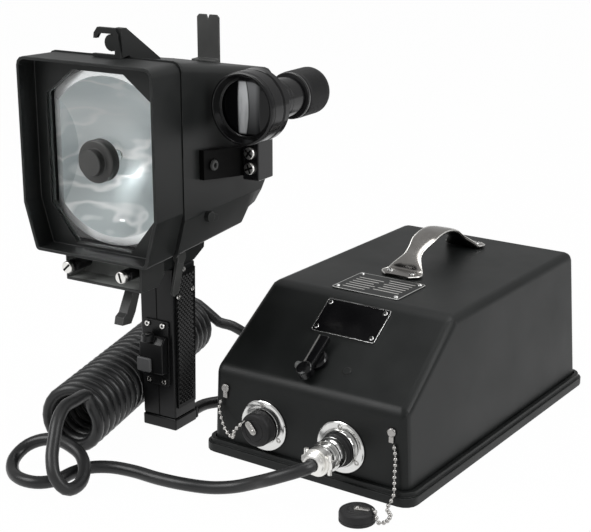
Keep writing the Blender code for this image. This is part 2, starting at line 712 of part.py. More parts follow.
def bowl(radius, offset):
    """Depth of the reflector's surface behind its rim at a radius."""
    return BOWL_DEPTH - radius ** 2 / (4 * REFLECTOR_FOCUS) + offset


BOWL_RINGS = 6
profile = []
for k in range(BOWL_RINGS + 1):
    radius = REFLECTOR_R * k / BOWL_RINGS
    profile.append((radius, bowl(radius, 0)))
LIP_R = REFLECTOR_R + REFLECTOR_LIP
profile += [(LIP_R, 0), (LIP_R, REFLECTOR_T)]
for k in range(BOWL_RINGS, -1, -1):
    radius = REFLECTOR_R * k / BOWL_RINGS
    profile.append((radius, bowl(radius, REFLECTOR_T)))
PIVOT = (0, PIVOT_Y, AXIS_Z)
reflector = finish("reflector", turned(profile, facing((0, 1, 0), (0, RIM_Y, AXIS_Z)), 40), MIRROR,
    PIVOT)
REFLECTOR_HALF = WINDOW_HALF_W + REFLECTOR_SIDE
keep = finish("reflector_sides", box((-REFLECTOR_HALF, RIM_Y - OVER, AXIS_Z - LIP_R - OVER),
                                     (REFLECTOR_HALF, RIM_Y + REFLECTOR_R, AXIS_Z + LIP_R + OVER)),
                                     None)
combine(reflector, keep, "INTERSECT")
STUB_ROOT_X = math.sqrt((BOWL_DEPTH - PIVOT_BACK + TRUNNION_R) * 4 * REFLECTOR_FOCUS) + GAP
STUB_TIP_X = housing_at(PIVOT_Y)[0] - SHEET - TRUNNION_R / 2
for side in (-1, 1):
    stub_len = STUB_TIP_X - STUB_ROOT_X
    stub = turned([(0, 0), (TRUNNION_R, 0), (TRUNNION_R, stub_len), (0, stub_len)],
                  facing((side, 0, 0), (side * STUB_ROOT_X, PIVOT_Y, AXIS_Z)), 12)
    join(reflector, finish("trunnion_stub", stub, None))
    block_x = STUB_TIP_X - TRUNNION_R * 2.5
    wall_x = housing_at(PIVOT_Y + BEARING_SIZE / 2)[0] - SHEET / 2
    ends = sorted((side * block_x, side * wall_x))
    block = box((ends[0], PIVOT_Y - BEARING_SIZE / 2, AXIS_Z - BEARING_SIZE / 2),
                (ends[1], PIVOT_Y + BEARING_SIZE / 2, AXIS_Z + BEARING_SIZE / 2))
    join(housing, finish("pivot_bearing", block, None))
    bore_len = STUB_TIP_X + GAP - block_x + OVER
    bore = turned([(0, 0), (TRUNNION_R + GAP, 0), (TRUNNION_R + GAP, bore_len), (0, bore_len)],
                   facing((side, 0, 0), (side * (block_x - OVER), PIVOT_Y, AXIS_Z)), 12)
    cut(housing, finish("bearing_bore", bore, None))

ARM_ROOT_Z = AXIS_Z - REFLECTOR_R * 0.8
ARM_ROOT_Y = RIM_Y + bowl(REFLECTOR_R * 0.8, 0)
ARM_KNEE_Z = HOUSING_BOTTOM + SHEET * 3
arm_line = [(ARM_ROOT_Y, ARM_ROOT_Z), (ARM_ROOT_Y - ARM_T, ARM_ROOT_Z - ARM_T * 2),
            (ARM_Y - ARM_T, ARM_KNEE_Z), (ARM_Y, HOUSING_BOTTOM - ARM_T),
            (ARM_Y, ARM_BOTTOM_Z), (ARM_Y + ARM_T, ARM_BOTTOM_Z),
            (ARM_Y + ARM_T, HOUSING_BOTTOM - ARM_T),
            (ARM_Y + ARM_T * 0.5, ARM_KNEE_Z + ARM_T), (ARM_ROOT_Y + ARM_T * 1.5, ARM_ROOT_Z - ARM_T)]
join(reflector, finish("reflector_arm", prism(arm_line, SIDE_VIEW, -ARM_W / 2, ARM_W / 2), None))

cap_profile = [(0, CAP_NUT_H), (CAP_NUT_R, CAP_NUT_H), (CAP_NUT_R, 0), (CAP_NECK_R, 0),
               (CAP_NECK_R, -GLASS_T - GAP * 2), (CAP_R, -GLASS_T - GAP * 2),
               (CAP_R, -GLASS_T - CAP_H + CAP_STEP_H + GAP * 4),
               (CAP_R - GAP * 4, -GLASS_T - CAP_H + CAP_STEP_H),
               (CAP_STEP_R, -GLASS_T - CAP_H + CAP_STEP_H), (CAP_STEP_R, -GLASS_T - CAP_H),
               (0, -GLASS_T - CAP_H)]
finish("centre_cap", turned(cap_profile, facing((0, 1, 0), (0, GLASS_Y + GLASS_T + GAP, AXIS_Z)), 24),
    BLACK_PLASTIC)

BULB_Y = RIM_Y + BOWL_DEPTH - REFLECTOR_FOCUS
HOLDER_Y = GLASS_Y + GLASS_T + CAP_NUT_H + GAP * 2
HOLDER_LEN = BULB_Y - BULB_R - GAP * 2 - HOLDER_Y
bulb_profile = [(0, BULB_R)]
for k in range(1, 6):
    a = math.pi * k / 7
    bulb_profile.append((BULB_R * math.sin(a), BULB_R * math.cos(a)))
bulb_profile += [(BULB_NECK_R, -BULB_R), (0, -BULB_R)]
finish("lamp_bulb", turned(bulb_profile, facing((0, 1, 0), (0, BULB_Y, AXIS_Z)), 16), GLASS)
finish("bulb_holder", turned([(0, 0), (HOLDER_R, 0), (HOLDER_R, HOLDER_LEN), (0, HOLDER_LEN)],
    facing((0, 1, 0), (0, HOLDER_Y, AXIS_Z)), 16), BRASS)


# Sights

SIGHT_BASE = HOOD_TOP - HOOD_NARROW / 2 * (SIGHT_Y + SIGHT_T - HOOD_FRONT_Y) / HOOD_DEPTH + GAP * 2
SIGHT_TOP = SIGHT_BASE + SIGHT_H
hw = SIGHT_W / 2
arch = [(-hw, SIGHT_BASE), (hw, SIGHT_BASE), (hw * 0.82, SIGHT_TOP - SIGHT_BAR), (hw * 0.6, SIGHT_TOP),
        (-hw * 0.6, SIGHT_TOP), (-hw * 0.85, SIGHT_TOP - SIGHT_BAR)]
sight = finish("front_sight", prism(arch, FRONT_VIEW, -SIGHT_Y - SIGHT_T, -SIGHT_Y), BLACK_PAINT)
iw = hw - SIGHT_BAR
hole_top = SIGHT_TOP - SIGHT_BAR
hole_low = SIGHT_BASE + SIGHT_BAR / 2
open_z = SIGHT_BASE + SIGHT_H * SIGHT_OPEN_share
window = [(-hw - OVER, hole_low), (iw, hole_low), (iw * 0.75, hole_top), (-iw * 0.7, hole_top),
          (-iw, open_z), (-hw - OVER, open_z)]
cut(sight, finish("sight_window", prism(window, FRONT_VIEW, -SIGHT_Y - SIGHT_T - OVER,
    -SIGHT_Y + OVER), None))


def roof(y):
    return housing_at(y)[1]


WEDGE_LIFT = FLANGE_PROUD + GAP * 2
wedge_rear = SIGHT_Y + WEDGE_REACH
wedge = [(SIGHT_Y + SIGHT_T / 2, SIGHT_BASE), (HOUSING_FRONT_Y, roof(HOUSING_FRONT_Y) + WEDGE_LIFT),
         (HOUSING_FRONT_Y + FLANGE_LEN * 1.3, roof(HOUSING_FRONT_Y) + WEDGE_LIFT),
         (HOUSING_FRONT_Y + FLANGE_LEN * 2, roof(HOUSING_FRONT_Y + FLANGE_LEN * 2) + GAP),
         (wedge_rear, roof(wedge_rear) + GAP), (wedge_rear, roof(wedge_rear) + SIGHT_T / 2),
         (SIGHT_Y + WEDGE_FLAT, SIGHT_TOP), (SIGHT_Y + SIGHT_T / 2, SIGHT_TOP)]
join(sight, finish("sight_wedge", prism(wedge, SIDE_VIEW, iw * 0.7, iw * 0.7 + WEDGE_W), None))
tube_at = (SIGHT_TUBE_X, SIGHT_Y + SIGHT_T / 2, SIGHT_BASE + SIGHT_TUBE_RISE)
join(sight, finish("sight_tube", turned([(0, 0), (SIGHT_TUBE_R, 0), (SIGHT_TUBE_R, WEDGE_FLAT),
    (SIGHT_TUBE_R * 0.6, WEDGE_FLAT * 1.4), (0, WEDGE_FLAT * 1.4)], facing((0, 1, 0), tube_at), 16),
    None))

LEAF_TOP = roof(LEAF_Y) + LEAF_H
leaf_line = [(LEAF_Y, LEAF_TOP), (LEAF_Y, roof(LEAF_Y) + LEAF_T * 2),
    (LEAF_Y - LEAF_FOOT, roof(LEAF_Y - LEAF_FOOT) + LEAF_T),
             (LEAF_Y - LEAF_FOOT, roof(LEAF_Y - LEAF_FOOT) + GAP),
             (LEAF_Y + LEAF_T, roof(LEAF_Y + LEAF_T) + GAP),
             (LEAF_Y + LEAF_T, LEAF_TOP)]
leaf = finish("rear_sight", prism(leaf_line, SIDE_VIEW, -LEAF_W / 2, LEAF_W / 2), GREY_PAINT)
notch = [(-NOTCH / 2, LEAF_TOP + OVER), (0, LEAF_TOP - NOTCH), (NOTCH / 2, LEAF_TOP + OVER)]
cut(leaf, finish("leaf_notch", prism(notch, FRONT_VIEW, -LEAF_Y - LEAF_T - OVER, -LEAF_Y + OVER), None))
for side in (-1, 1):
    edge = side * LEAF_W / 2
    clip = [(edge - side * LEAF_CLIP, LEAF_TOP + GAP), (edge + side * GAP, LEAF_TOP + GAP),
            (edge + side * GAP, LEAF_TOP - LEAF_CLIP)]
    cut(leaf, finish("leaf_clip", prism(clip, FRONT_VIEW, -LEAF_Y - LEAF_T - OVER, -LEAF_Y + OVER),
        None))


# Telescope

SCOPE = facing((0, 1, 0), (SCOPE_X, SCOPE_FRONT_Y, SCOPE_Z))
SCOPE_BODY_AT = BELL_LEN + GAP
bell = [(BELL_R - GAP * 5, 0), (BELL_R, GAP * 5), (BELL_R, BELL_LEN), (LENS_R + GAP, BELL_LEN),
        (LENS_R + GAP, LENS_SET - GAP), (LENS_R - LENS_DOME, LENS_SET - GAP), (BELL_MOUTH_R, GAP * 5),
        (BELL_MOUTH_R + GAP * 3, 0)]
finish("objective_ring", turned(bell, SCOPE, 32), BLACK_PAINT)
finish("objective_lens", turned([(0, LENS_SET), (LENS_R * 0.6, LENS_SET + LENS_DOME / 2),
    (LENS_R, LENS_SET + LENS_DOME),
    (LENS_R, LENS_SET + LENS_T), (LENS_R * 0.5, LENS_SET + LENS_T), (0, LENS_SET + LENS_T)], SCOPE,
    32), GLASS)
NECK_AT = SCOPE_BODY_AT + SCOPE_LEN
tube_profile = [(LENS_R - LENS_DOME * 2, LENS_SET + LENS_T + GAP), (LENS_R, LENS_SET + LENS_T + GAP),
                (LENS_R, SCOPE_BODY_AT), (SCOPE_SHOULDER_R, SCOPE_BODY_AT),
                (SCOPE_SHOULDER_R, SCOPE_BODY_AT + SCOPE_STEP),
                (SCOPE_R, SCOPE_BODY_AT + SCOPE_STEP + GAP * 5),
                (SCOPE_R, NECK_AT - SCOPE_STEP / 4), (SCOPE_R - SCOPE_STEP / 4, NECK_AT),
                (NECK_R, NECK_AT + SCOPE_STEP / 4),
                (NECK_R, NECK_AT + NECK_LEN), (SCOPE_BORE, NECK_AT + NECK_LEN), (SCOPE_BORE, NECK_AT),
                (LENS_R - LENS_DOME * 2, NECK_AT - SCOPE_STEP)]
finish("telescope_body", turned(tube_profile, SCOPE, 32), BLACK_PAINT)
FOCUS_AT = NECK_AT + NECK_LEN + GAP
EYE_END = FOCUS_AT + FOCUS_LEN + EYECUP_LEN
eyecup = [(FOCUS_R, FOCUS_AT), (FOCUS_R, FOCUS_AT + FOCUS_LEN),
    (EYECUP_R - GAP * 4, FOCUS_AT + FOCUS_LEN),
          (EYECUP_R, FOCUS_AT + FOCUS_LEN + GAP * 4), (EYECUP_R, EYE_END - EYECUP_ROUND),
          (EYECUP_R - EYECUP_ROUND * 0.3, EYE_END - EYECUP_ROUND * 0.3),
          (EYECUP_R - EYECUP_ROUND, EYE_END),
          (EYECUP_MOUTH_R, EYE_END), (EYECUP_MOUTH_R - EYE_LENS_T, EYE_END - EYECUP_DEPTH),
          (SCOPE_BORE / 2, EYE_END - EYECUP_DEPTH), (SCOPE_BORE / 2, FOCUS_AT)]
finish("eyecup", turned(eyecup, SCOPE, 28), RUBBER, (SCOPE_X, SCOPE_FRONT_Y + FOCUS_AT, SCOPE_Z))
EYE_LENS_AT = EYE_END - EYECUP_DEPTH + GAP
finish("eye_lens", turned([(0, EYE_LENS_AT), (EYECUP_MOUTH_R - EYE_LENS_T * 1.5, EYE_LENS_AT),
    (EYECUP_MOUTH_R - EYE_LENS_T * 1.5, EYE_LENS_AT + EYE_LENS_T * 0.5),
    (0, EYE_LENS_AT + EYE_LENS_T)], SCOPE, 24), GLASS,
    (SCOPE_X, SCOPE_FRONT_Y + FOCUS_AT, SCOPE_Z))

BRACKET_TOP = BRACKET_BOTTOM + BRACKET_H
LEVEL = Matrix.Identity(4)
wall_front = housing_at(BRACKET_FRONT_Y)[0] + GAP
wall_rear = housing_at(BRACKET_REAR_Y)[0] + GAP
plate = [(wall_front, BRACKET_FRONT_Y), (BRACKET_X, BRACKET_FRONT_Y), (BRACKET_X, BRACKET_REAR_Y),
    (wall_rear, BRACKET_REAR_Y)]
bracket = finish("scope_bracket", prism(plate, LEVEL, BRACKET_BOTTOM, BRACKET_TOP + BRACKET_TILT),
    BLACK_PAINT)


def bracket_lift(y):
    """How far the tilted plate stands above its rear end at y."""
    return BRACKET_TILT * (BRACKET_REAR_Y - y) / (BRACKET_REAR_Y - BRACKET_FRONT_Y)


before, behind = BRACKET_FRONT_Y - OVER, BRACKET_REAR_Y + OVER
below_line = [(before, BRACKET_BOTTOM - OVER), (behind, BRACKET_BOTTOM - OVER),
    (behind, BRACKET_BOTTOM + bracket_lift(behind)), (before, BRACKET_BOTTOM + bracket_lift(before))]
above_line = [(before, BRACKET_TOP + bracket_lift(before)), (behind, BRACKET_TOP + bracket_lift(behind)),
    (behind, BRACKET_TOP + BRACKET_TILT + OVER), (before, BRACKET_TOP + BRACKET_TILT + OVER)]
cut(bracket, finish("bracket_below", prism(below_line, SIDE_VIEW, 0, BRACKET_X + OVER), None))
cut(bracket, finish("bracket_above", prism(above_line, SIDE_VIEW, 0, BRACKET_X + OVER), None))
cradle = finish("scope_cradle", box((BRACKET_X + GAP, CRADLE_Y, BRACKET_BOTTOM),
    (CRADLE_X, BRACKET_REAR_Y - SHEET, CRADLE_TOP)), BLACK_PAINT)
bevelled(cradle, SHEET / 3, 1)
seat_r, seat_len = NECK_R + GAP, BRACKET_REAR_Y - SCOPE_FRONT_Y
seat = turned([(0, 0), (seat_r, 0), (seat_r, seat_len), (0, seat_len)],
              facing((0, 1, 0), (SCOPE_X, SCOPE_FRONT_Y, SCOPE_Z)), 40)
cut(cradle, finish("cradle_seat", seat, None))


def screw_shape(matrix, radius, height):
    """Low domed screw head."""
    return turned([(0, 0), (radius, 0), (radius, height * 0.6), (radius * 0.8, height), (0, height)],
        matrix, 14)


for k, name in enumerate(("clamp_screw_lower", "clamp_screw_upper")):
    at = ((BRACKET_X + CRADLE_X) / 2, CRADLE_Y - GAP,
        BRACKET_BOTTOM + CLAMP_SCREW_LOW + CLAMP_SCREW_STEP * k)
    finish(name, screw_shape(facing((0, -1, 0), at), CLAMP_SCREW_R, CLAMP_SCREW_H), CHROME)
plate_screw_at = (BRACKET_X - CLAMP_SCREW_H / 2, BRACKET_FRONT_Y + PLATE_SCREW_IN,
    BRACKET_BOTTOM + BRACKET_H * 0.55 + bracket_lift(BRACKET_FRONT_Y + PLATE_SCREW_IN))
join(bracket, finish("bracket_screw",
    screw_shape(facing((1, 0, 0), plate_screw_at), PLATE_SCREW_R, CLAMP_SCREW_H), None))

catch_x = housing_at(CATCH_Y - CATCH_R)[0] + GAP
catch_side = disc_outline(CATCH_R, 16, (CATCH_Y, CATCH_Z))
catch = finish("side_catch", prism(catch_side, SIDE_VIEW, catch_x, catch_x + CATCH_T), BLACK_PAINT,
    (catch_x, CATCH_Y, CATCH_Z))
hook = [(CATCH_Y, CATCH_Z - CATCH_R), (CATCH_Y + CATCH_REACH, CATCH_Z - CATCH_R),
    (CATCH_Y + CATCH_REACH, CATCH_Z), (CATCH_Y, CATCH_Z + CATCH_R * 0.8)]
join(catch, finish("catch_hook", prism(hook, SIDE_VIEW, catch_x + CATCH_T * 0.3,
    catch_x + CATCH_T * 0.8), None))


# Bracket, neck and trigger

CHANNEL_TOP = HOOD_BOTTOM - GAP
channel = finish("lower_bracket", box((-CHANNEL_W / 2, CHANNEL_FRONT_Y, CHANNEL_BOTTOM),
                                      (CHANNEL_W / 2, CHANNEL_REAR_Y, CHANNEL_TOP)), BLACK_PAINT)
inner_w = CHANNEL_W / 2 - CHANNEL_WALL
hollow_low = CHANNEL_BOTTOM + CHANNEL_WALL
hollow_rear = CHANNEL_REAR_Y - CHANNEL_WALL
hollow_line = [(CHANNEL_FRONT_Y - OVER, hollow_low), (hollow_rear - CHANNEL_CUT, hollow_low),
    (hollow_rear, hollow_low + CHANNEL_CUT), (hollow_rear, CHANNEL_TOP - CHANNEL_WALL),
    (CHANNEL_FRONT_Y - OVER, CHANNEL_TOP - CHANNEL_WALL)]
cut(channel, finish("channel_hollow", prism(hollow_line, SIDE_VIEW, -inner_w, inner_w), None))
slant = [(CHANNEL_REAR_Y - CHANNEL_CUT, CHANNEL_BOTTOM - GAP),
    (CHANNEL_REAR_Y + GAP, CHANNEL_BOTTOM - GAP),
         (CHANNEL_REAR_Y + GAP, CHANNEL_BOTTOM + CHANNEL_CUT)]
cut(channel, finish("channel_slant", prism(slant, SIDE_VIEW, -CHANNEL_W, CHANNEL_W), None))
for side in (-1, 1):
    at = (side * CAPTIVE_X, CHANNEL_FRONT_Y - GAP, CAPTIVE_Z)
    shank = CAPTIVE_SHANK
    stem = hollow_rear - GAP - at[1]
    captive = finish("captive_screw_right" if side > 0 else "captive_screw_left",
                     turned([(0, -stem), (CAPTIVE_STEM_R, -stem), (CAPTIVE_STEM_R, -CAPTIVE_BARREL),
                             (CAPTIVE_SHANK_R, -CAPTIVE_BARREL), (CAPTIVE_SHANK_R, shank),
                             (CAPTIVE_R, shank),
                             (CAPTIVE_R, shank + CAPTIVE_HEAD * 0.75),
                             (CAPTIVE_R * 0.85, shank + CAPTIVE_HEAD),
                             (0, shank + CAPTIVE_HEAD)], facing((0, -1, 0), at), 20), CHROME, at)
    slot_y = CHANNEL_FRONT_Y - GAP - shank - CAPTIVE_HEAD
    cut(captive, finish("captive_slot",
        box((at[0] - CAPTIVE_SLOT / 2, slot_y - OVER, CAPTIVE_Z - CAPTIVE_R * 2),
        (at[0] + CAPTIVE_SLOT / 2, slot_y + CAPTIVE_SLOT, CAPTIVE_Z + CAPTIVE_R * 2)), None))

NECK_FRONT = CHANNEL_REAR_Y + GAP
NECK_TOP = HOUSING_BOTTOM - GAP
NECK_LOW = GRIP_TOP + GAP
side_line = [(NECK_FRONT, NECK_TOP), (NECK_FRONT, NECK_LOW + NECK_BLOCK_SLANT),
    (NECK_FRONT + NECK_BLOCK_SLANT, NECK_LOW),
             (GRIP_REAR_TOP_Y, NECK_LOW), (NECK_BLOCK_REAR - GAP * 10, NECK_LOW + NECK_BLOCK_LIFT),
             (NECK_BLOCK_REAR, NECK_TOP)]
neck_half = NECK_BLOCK_W / 2
neck = finish("neck_block", prism(side_line, SIDE_VIEW, -neck_half, neck_half), BLACK_PAINT)
cut(neck, finish("trigger_slot", box((-TRIGGER_SLOT / 2, NECK_FRONT - OVER, NECK_LOW - OVER),
    (TRIGGER_SLOT / 2, TRIGGER_Y + TRIGGER_BOSS + OVER, NECK_TOP + OVER)), None))
pin = turned([(0, 0), (TRIGGER_PIN_R, 0), (TRIGGER_PIN_R, neck_half * 1.5), (0, neck_half * 1.5)],
             facing((1, 0, 0), (-neck_half * 0.75, TRIGGER_Y, TRIGGER_Z)), 12)
join(neck, finish("trigger_pin", pin, None))

TRIGGER_AT = (0, TRIGGER_Y, TRIGGER_Z)
reach, drop, blade = TRIGGER_REACH, TRIGGER_DROP, TRIGGER_BLADE
trigger_line = [
    (-TRIGGER_BOSS, TRIGGER_BOSS * 0.4), (-FINGER_T - TRIGGER_BOSS + GAP, FINGER_H * 0.6),
    (-FINGER_T - TRIGGER_BOSS + GAP, FINGER_H), (-TRIGGER_BOSS, FINGER_H),
    (TRIGGER_BOSS * 0.6, TRIGGER_BOSS), (TRIGGER_BOSS, 0), (TRIGGER_BOSS * 0.2, -TRIGGER_BOSS * 1.4),
    (blade * 0.5 - reach * 0.42, -drop * 0.36), (blade * 0.5 - reach * 0.8, -drop * 0.8),
    (-reach * 0.85, -drop),
    (-TRIGGER_TOE, -drop + TRIGGER_BOSS * 0.3),
    (-TRIGGER_TOE + TRIGGER_BOSS * 0.4, -drop + blade * 0.75),
    (-reach - blade * 0.2, -drop + blade), (-blade * 0.5 - reach * 0.42, -drop * 0.36),
    (-TRIGGER_BOSS * 1.5, -TRIGGER_BOSS * 1.2)]
trigger_shape = prism([(TRIGGER_Y + y, TRIGGER_Z + z) for y, z in trigger_line], SIDE_VIEW,
    -TRIGGER_T / 2, TRIGGER_T / 2)
trigger = finish("trigger", trigger_shape, GREY_PAINT, TRIGGER_AT)
trigger_bore = turned([(0, 0), (TRIGGER_PIN_R + GAP, 0), (TRIGGER_PIN_R + GAP, TRIGGER_T * 2),
    (0, TRIGGER_T * 2)],
                      facing((1, 0, 0), (-TRIGGER_T, TRIGGER_Y, TRIGGER_Z)), 12)
cut(trigger, finish("trigger_bore", trigger_bore, None))

lever_x = neck_half + GAP
LEVER_AT = (lever_x, LEVER_Y, LEVER_Z)
lever = finish("side_lever", prism(disc_outline(LEVER_R, 20, (LEVER_Y, LEVER_Z)), SIDE_VIEW, lever_x,
    lever_x + LEVER_SPACE + LEVER_T),
               GREY_PAINT, LEVER_AT)
tip = (LEVER_Y - LEVER_SWEEP, LEVER_Z - LEVER_DROP)
lever_line = [(LEVER_Y - LEVER_R * 0.9, LEVER_Z), (tip[0] - LEVER_TIP_R, tip[1]),
    (tip[0] - LEVER_TIP_R * 0.5, tip[1] - LEVER_TIP_R * 0.6),
              (tip[0] + LEVER_TIP_R, tip[1]), (LEVER_Y + LEVER_R * 0.9, LEVER_Z)]
join(lever, finish("lever_blade", prism(lever_line, SIDE_VIEW, lever_x + LEVER_SPACE,
    lever_x + LEVER_SPACE + LEVER_T * 0.9), None))


# Grip

grip_half = GRIP_W / 2
BODY_LOW = BUTT_H + GAP
grip_line = [(GRIP_FRONT_Y, BODY_LOW), (GRIP_REAR_Y, BODY_LOW), (GRIP_REAR_TOP_Y, GRIP_TOP),
    (GRIP_FRONT_Y, GRIP_TOP)]
grip = finish("grip_body", prism(grip_line, SIDE_VIEW, -grip_half, grip_half), BLACK_PLASTIC)
bevelled(grip, GRIP_BEVEL, 2)
butt = finish("grip_butt", box((-grip_half - BUTT_LIP, GRIP_FRONT_Y - BUTT_LIP, 0),
    (grip_half + BUTT_LIP, GRIP_REAR_Y + BUTT_LIP, BUTT_H)),
              BLACK_PLASTIC)
bevelled(butt, GRIP_BEVEL, 2)
panel_line = [(PANEL_FRONT_Y, PANEL_BOTTOM), (GRIP_REAR_Y - PANEL_MARGIN, PANEL_BOTTOM),
    (GRIP_REAR_TOP_Y - PANEL_MARGIN, PANEL_TOP),
              (PANEL_FRONT_Y, PANEL_TOP)]
for side in (-1, 1):
    faces = sorted((side * (grip_half + GAP), side * (grip_half + GAP + PANEL_T)))
    panel = finish("grip_panel_right" if side > 0 else "grip_panel_left",
        prism(panel_line, SIDE_VIEW, *faces), BLACK_PLASTIC)
    bevelled(panel, PANEL_T / 4, 1)

plate_y = GRIP_FRONT_Y - GAP
SWITCH_FACE_Y = plate_y - SWITCH_PLATE_T
switch_plate = finish("switch_plate",
    prism(rect_outline(SWITCH_W, SWITCH_TOP - SWITCH_BOTTOM, SWITCH_PLATE_T, 2,
    (0, (SWITCH_TOP + SWITCH_BOTTOM) / 2)),
    FRONT_VIEW, -plate_y, -SWITCH_FACE_Y), BLACK_PLASTIC)
body_low_z, body_high_z = SWITCH_BODY_BOTTOM, SWITCH_BODY_TOP
body_front = SWITCH_FACE_Y - GAP - SWITCH_BODY_DEPTH
switch_line = [(SWITCH_FACE_Y - GAP, body_low_z), (SWITCH_FACE_Y - GAP, body_high_z),
    (body_front + SWITCH_BODY_DEPTH * 0.5, body_high_z),
               (body_front, body_high_z - SWITCH_BODY_DEPTH * 0.7), (body_front, body_low_z)]
switch = finish("switch_body", prism(switch_line, SIDE_VIEW, -SWITCH_BODY_W / 2, SWITCH_BODY_W / 2),
    BLACK_PLASTIC)
bevelled(switch, SWITCH_PLATE_T, 2, 40)
nose_at = (KNOB_X / 2, SWITCH_FACE_Y - GAP - SWITCH_NOSE_R - SWITCH_PLATE_T,
    body_high_z - SWITCH_NOSE_H)
nose = turned([(0, 0), (SWITCH_NOSE_R, 0), (SWITCH_NOSE_R, SWITCH_NOSE_H * 1.6),
    (SWITCH_NOSE_R * 0.7, SWITCH_NOSE_H * 2), (0, SWITCH_NOSE_H * 2)],
              facing((0, 0, 1), nose_at), 20)
join(switch, finish("switch_nose", nose, None))
knob_y = body_front - GAP
knob_line = rect_outline(KNOB_W, KNOB_H, SWITCH_PLATE_T, 2, (KNOB_X, KNOB_Z + KNOB_H / 2))
knob = finish("switch_knob", prism(knob_line, FRONT_VIEW, -knob_y, -knob_y + KNOB_T), GREY_PAINT,
    (KNOB_X, knob_y, KNOB_Z))
bevelled(knob, KNOB_T / 5, 1)
for side in (-1, 1):
    for z in (SWITCH_BOTTOM + SWITCH_SCREW_EDGE, SWITCH_TOP - SWITCH_SCREW_EDGE):
        at = (side * SWITCH_SCREW_X, SWITCH_FACE_Y + SWITCH_PLATE_T / 2, z)
        join(switch_plate, finish("switch_screw",
            screw_shape(facing((0, -1, 0), at), SWITCH_SCREW_R, SWITCH_PLATE_T / 2 + SCREW_H), None))

GLAND_BACK = GRIP_REAR_Y + BUTT_LIP + GAP + GLAND_LEN
gland = finish("cable_gland", box((GLAND_X - GLAND_W / 2, GRIP_REAR_Y + BUTT_LIP + GAP, GLAND_FOOT),
                                  (GLAND_X + GLAND_W / 2, GLAND_BACK, GLAND_FOOT + GLAND_W)), RUBBER)
bevelled(gland, GRIP_BEVEL, 2)


# Battery case

def case_solid(inward, low, radius):
    """Closed body of the case: sloping front, drafted sides and back, rounded edges."""
    slope_angle = math.atan2(CASE_H - CASE_FRONT_H, CASE_SLOPE_RUN)
    lift = inward * math.tan((math.pi / 2 - slope_angle) / 2)
    knee = inward * math.tan(slope_angle / 2)
    levels = [(low, WALL_Y + inward), (CASE_FRONT_H - lift, WALL_Y + inward),
        (CASE_H - inward, TOP_FRONT_Y + knee)]
    shape = bmesh.new()
    fronts, backs = [], []
    for z, y in levels:
        half = CASE_W / 2 - z * CASE_SIDE_DRAFT_share - inward
        back = CASE_D / 2 - z * CASE_REAR_DRAFT_share - inward
        fronts.append([shape.verts.new((-half, y, z)), shape.verts.new((half, y, z))])
        backs.append([shape.verts.new((-half, back, z)), shape.verts.new((half, back, z))])
    for k in (0, 1):
        shape.faces.new((fronts[k][0], fronts[k][1], fronts[k + 1][1], fronts[k + 1][0]))
        shape.faces.new((backs[k][0], backs[k][1], backs[k + 1][1], backs[k + 1][0]))
        for side in (0, 1):
            shape.faces.new((fronts[k][side], fronts[k + 1][side], backs[k + 1][side], backs[k][side]))
    shape.faces.new((fronts[2][0], fronts[2][1], backs[2][1], backs[2][0]))
    shape.faces.new((fronts[0][0], fronts[0][1], backs[0][1], backs[0][0]))
    bmesh.ops.recalc_face_normals(shape, faces=shape.faces)
    flat = {(backs[1][0], backs[1][1])}
    chosen = []
    for edge in shape.edges:
        ends = {edge.verts[0], edge.verts[1]}
        if all(abs(v.co.z - low) < OVER / 2 for v in edge.verts):
            continue
        if edge.calc_face_angle() < math.radians(10):
            continue
        if any(ends == set(pair) for pair in flat):
            continue
        chosen.append(edge)
    bmesh.ops.bevel(shape, geom=chosen, offset=radius, segments=3, profile=0.5, affect="EDGES",
        clamp_overlap=False)
    return shape


SHELL_LOW = TRAY_FLOOR + GAP
shell = finish("case_shell", case_solid(0, SHELL_LOW, CASE_EDGE_R), BLACK_PAINT, parent=CASE, angle=25)
cut(shell, finish("shell_hollow", case_solid(SHEET, SHELL_LOW - OVER, CASE_EDGE_R - SHEET), None,
    parent=CASE))

slope_len = math.hypot(CASE_SLOPE_RUN, CASE_H - CASE_FRONT_H)
UP = Vector((0, CASE_SLOPE_RUN / slope_len, (CASE_H - CASE_FRONT_H) / slope_len))
OUT = Vector((0, -UP.z, UP.y))
SLOPE_FOOT = Vector((0, WALL_Y, CASE_FRONT_H))


def on_slope(x, up, out=0):
    return SLOPE_FOOT + UP * up + OUT * out + Vector((x, 0, 0))


tray_w, tray_d = CASE_W + 2 * TRAY_LIP, CASE_D + 2 * TRAY_LIP
bead_w, bead_d = CASE_W + 2 * TRAY_BEAD_LIP, CASE_D + 2 * TRAY_BEAD_LIP
tray_rings = []
for z, width, depth in ((0, tray_w, tray_d), (TRAY_LOW_H, tray_w, tray_d),
    (TRAY_LOW_H, bead_w, bead_d), (TRAY_H, bead_w, bead_d)):
    tray_rings.append([(p[0], p[1], z) for p in rect_outline(width, depth, TRAY_R, 4)])
tray = finish("case_base", lofted(tray_rings), BLACK_PAINT, parent=CASE)
seat_r = CASE_EDGE_R - GAP
well = rect_outline(CASE_W + 2 * GAP, CASE_D + 2 * GAP, seat_r, 4)
cut(tray, finish("tray_well", prism(well, LEVEL, TRAY_FLOOR, TRAY_H + OVER), None, parent=CASE))

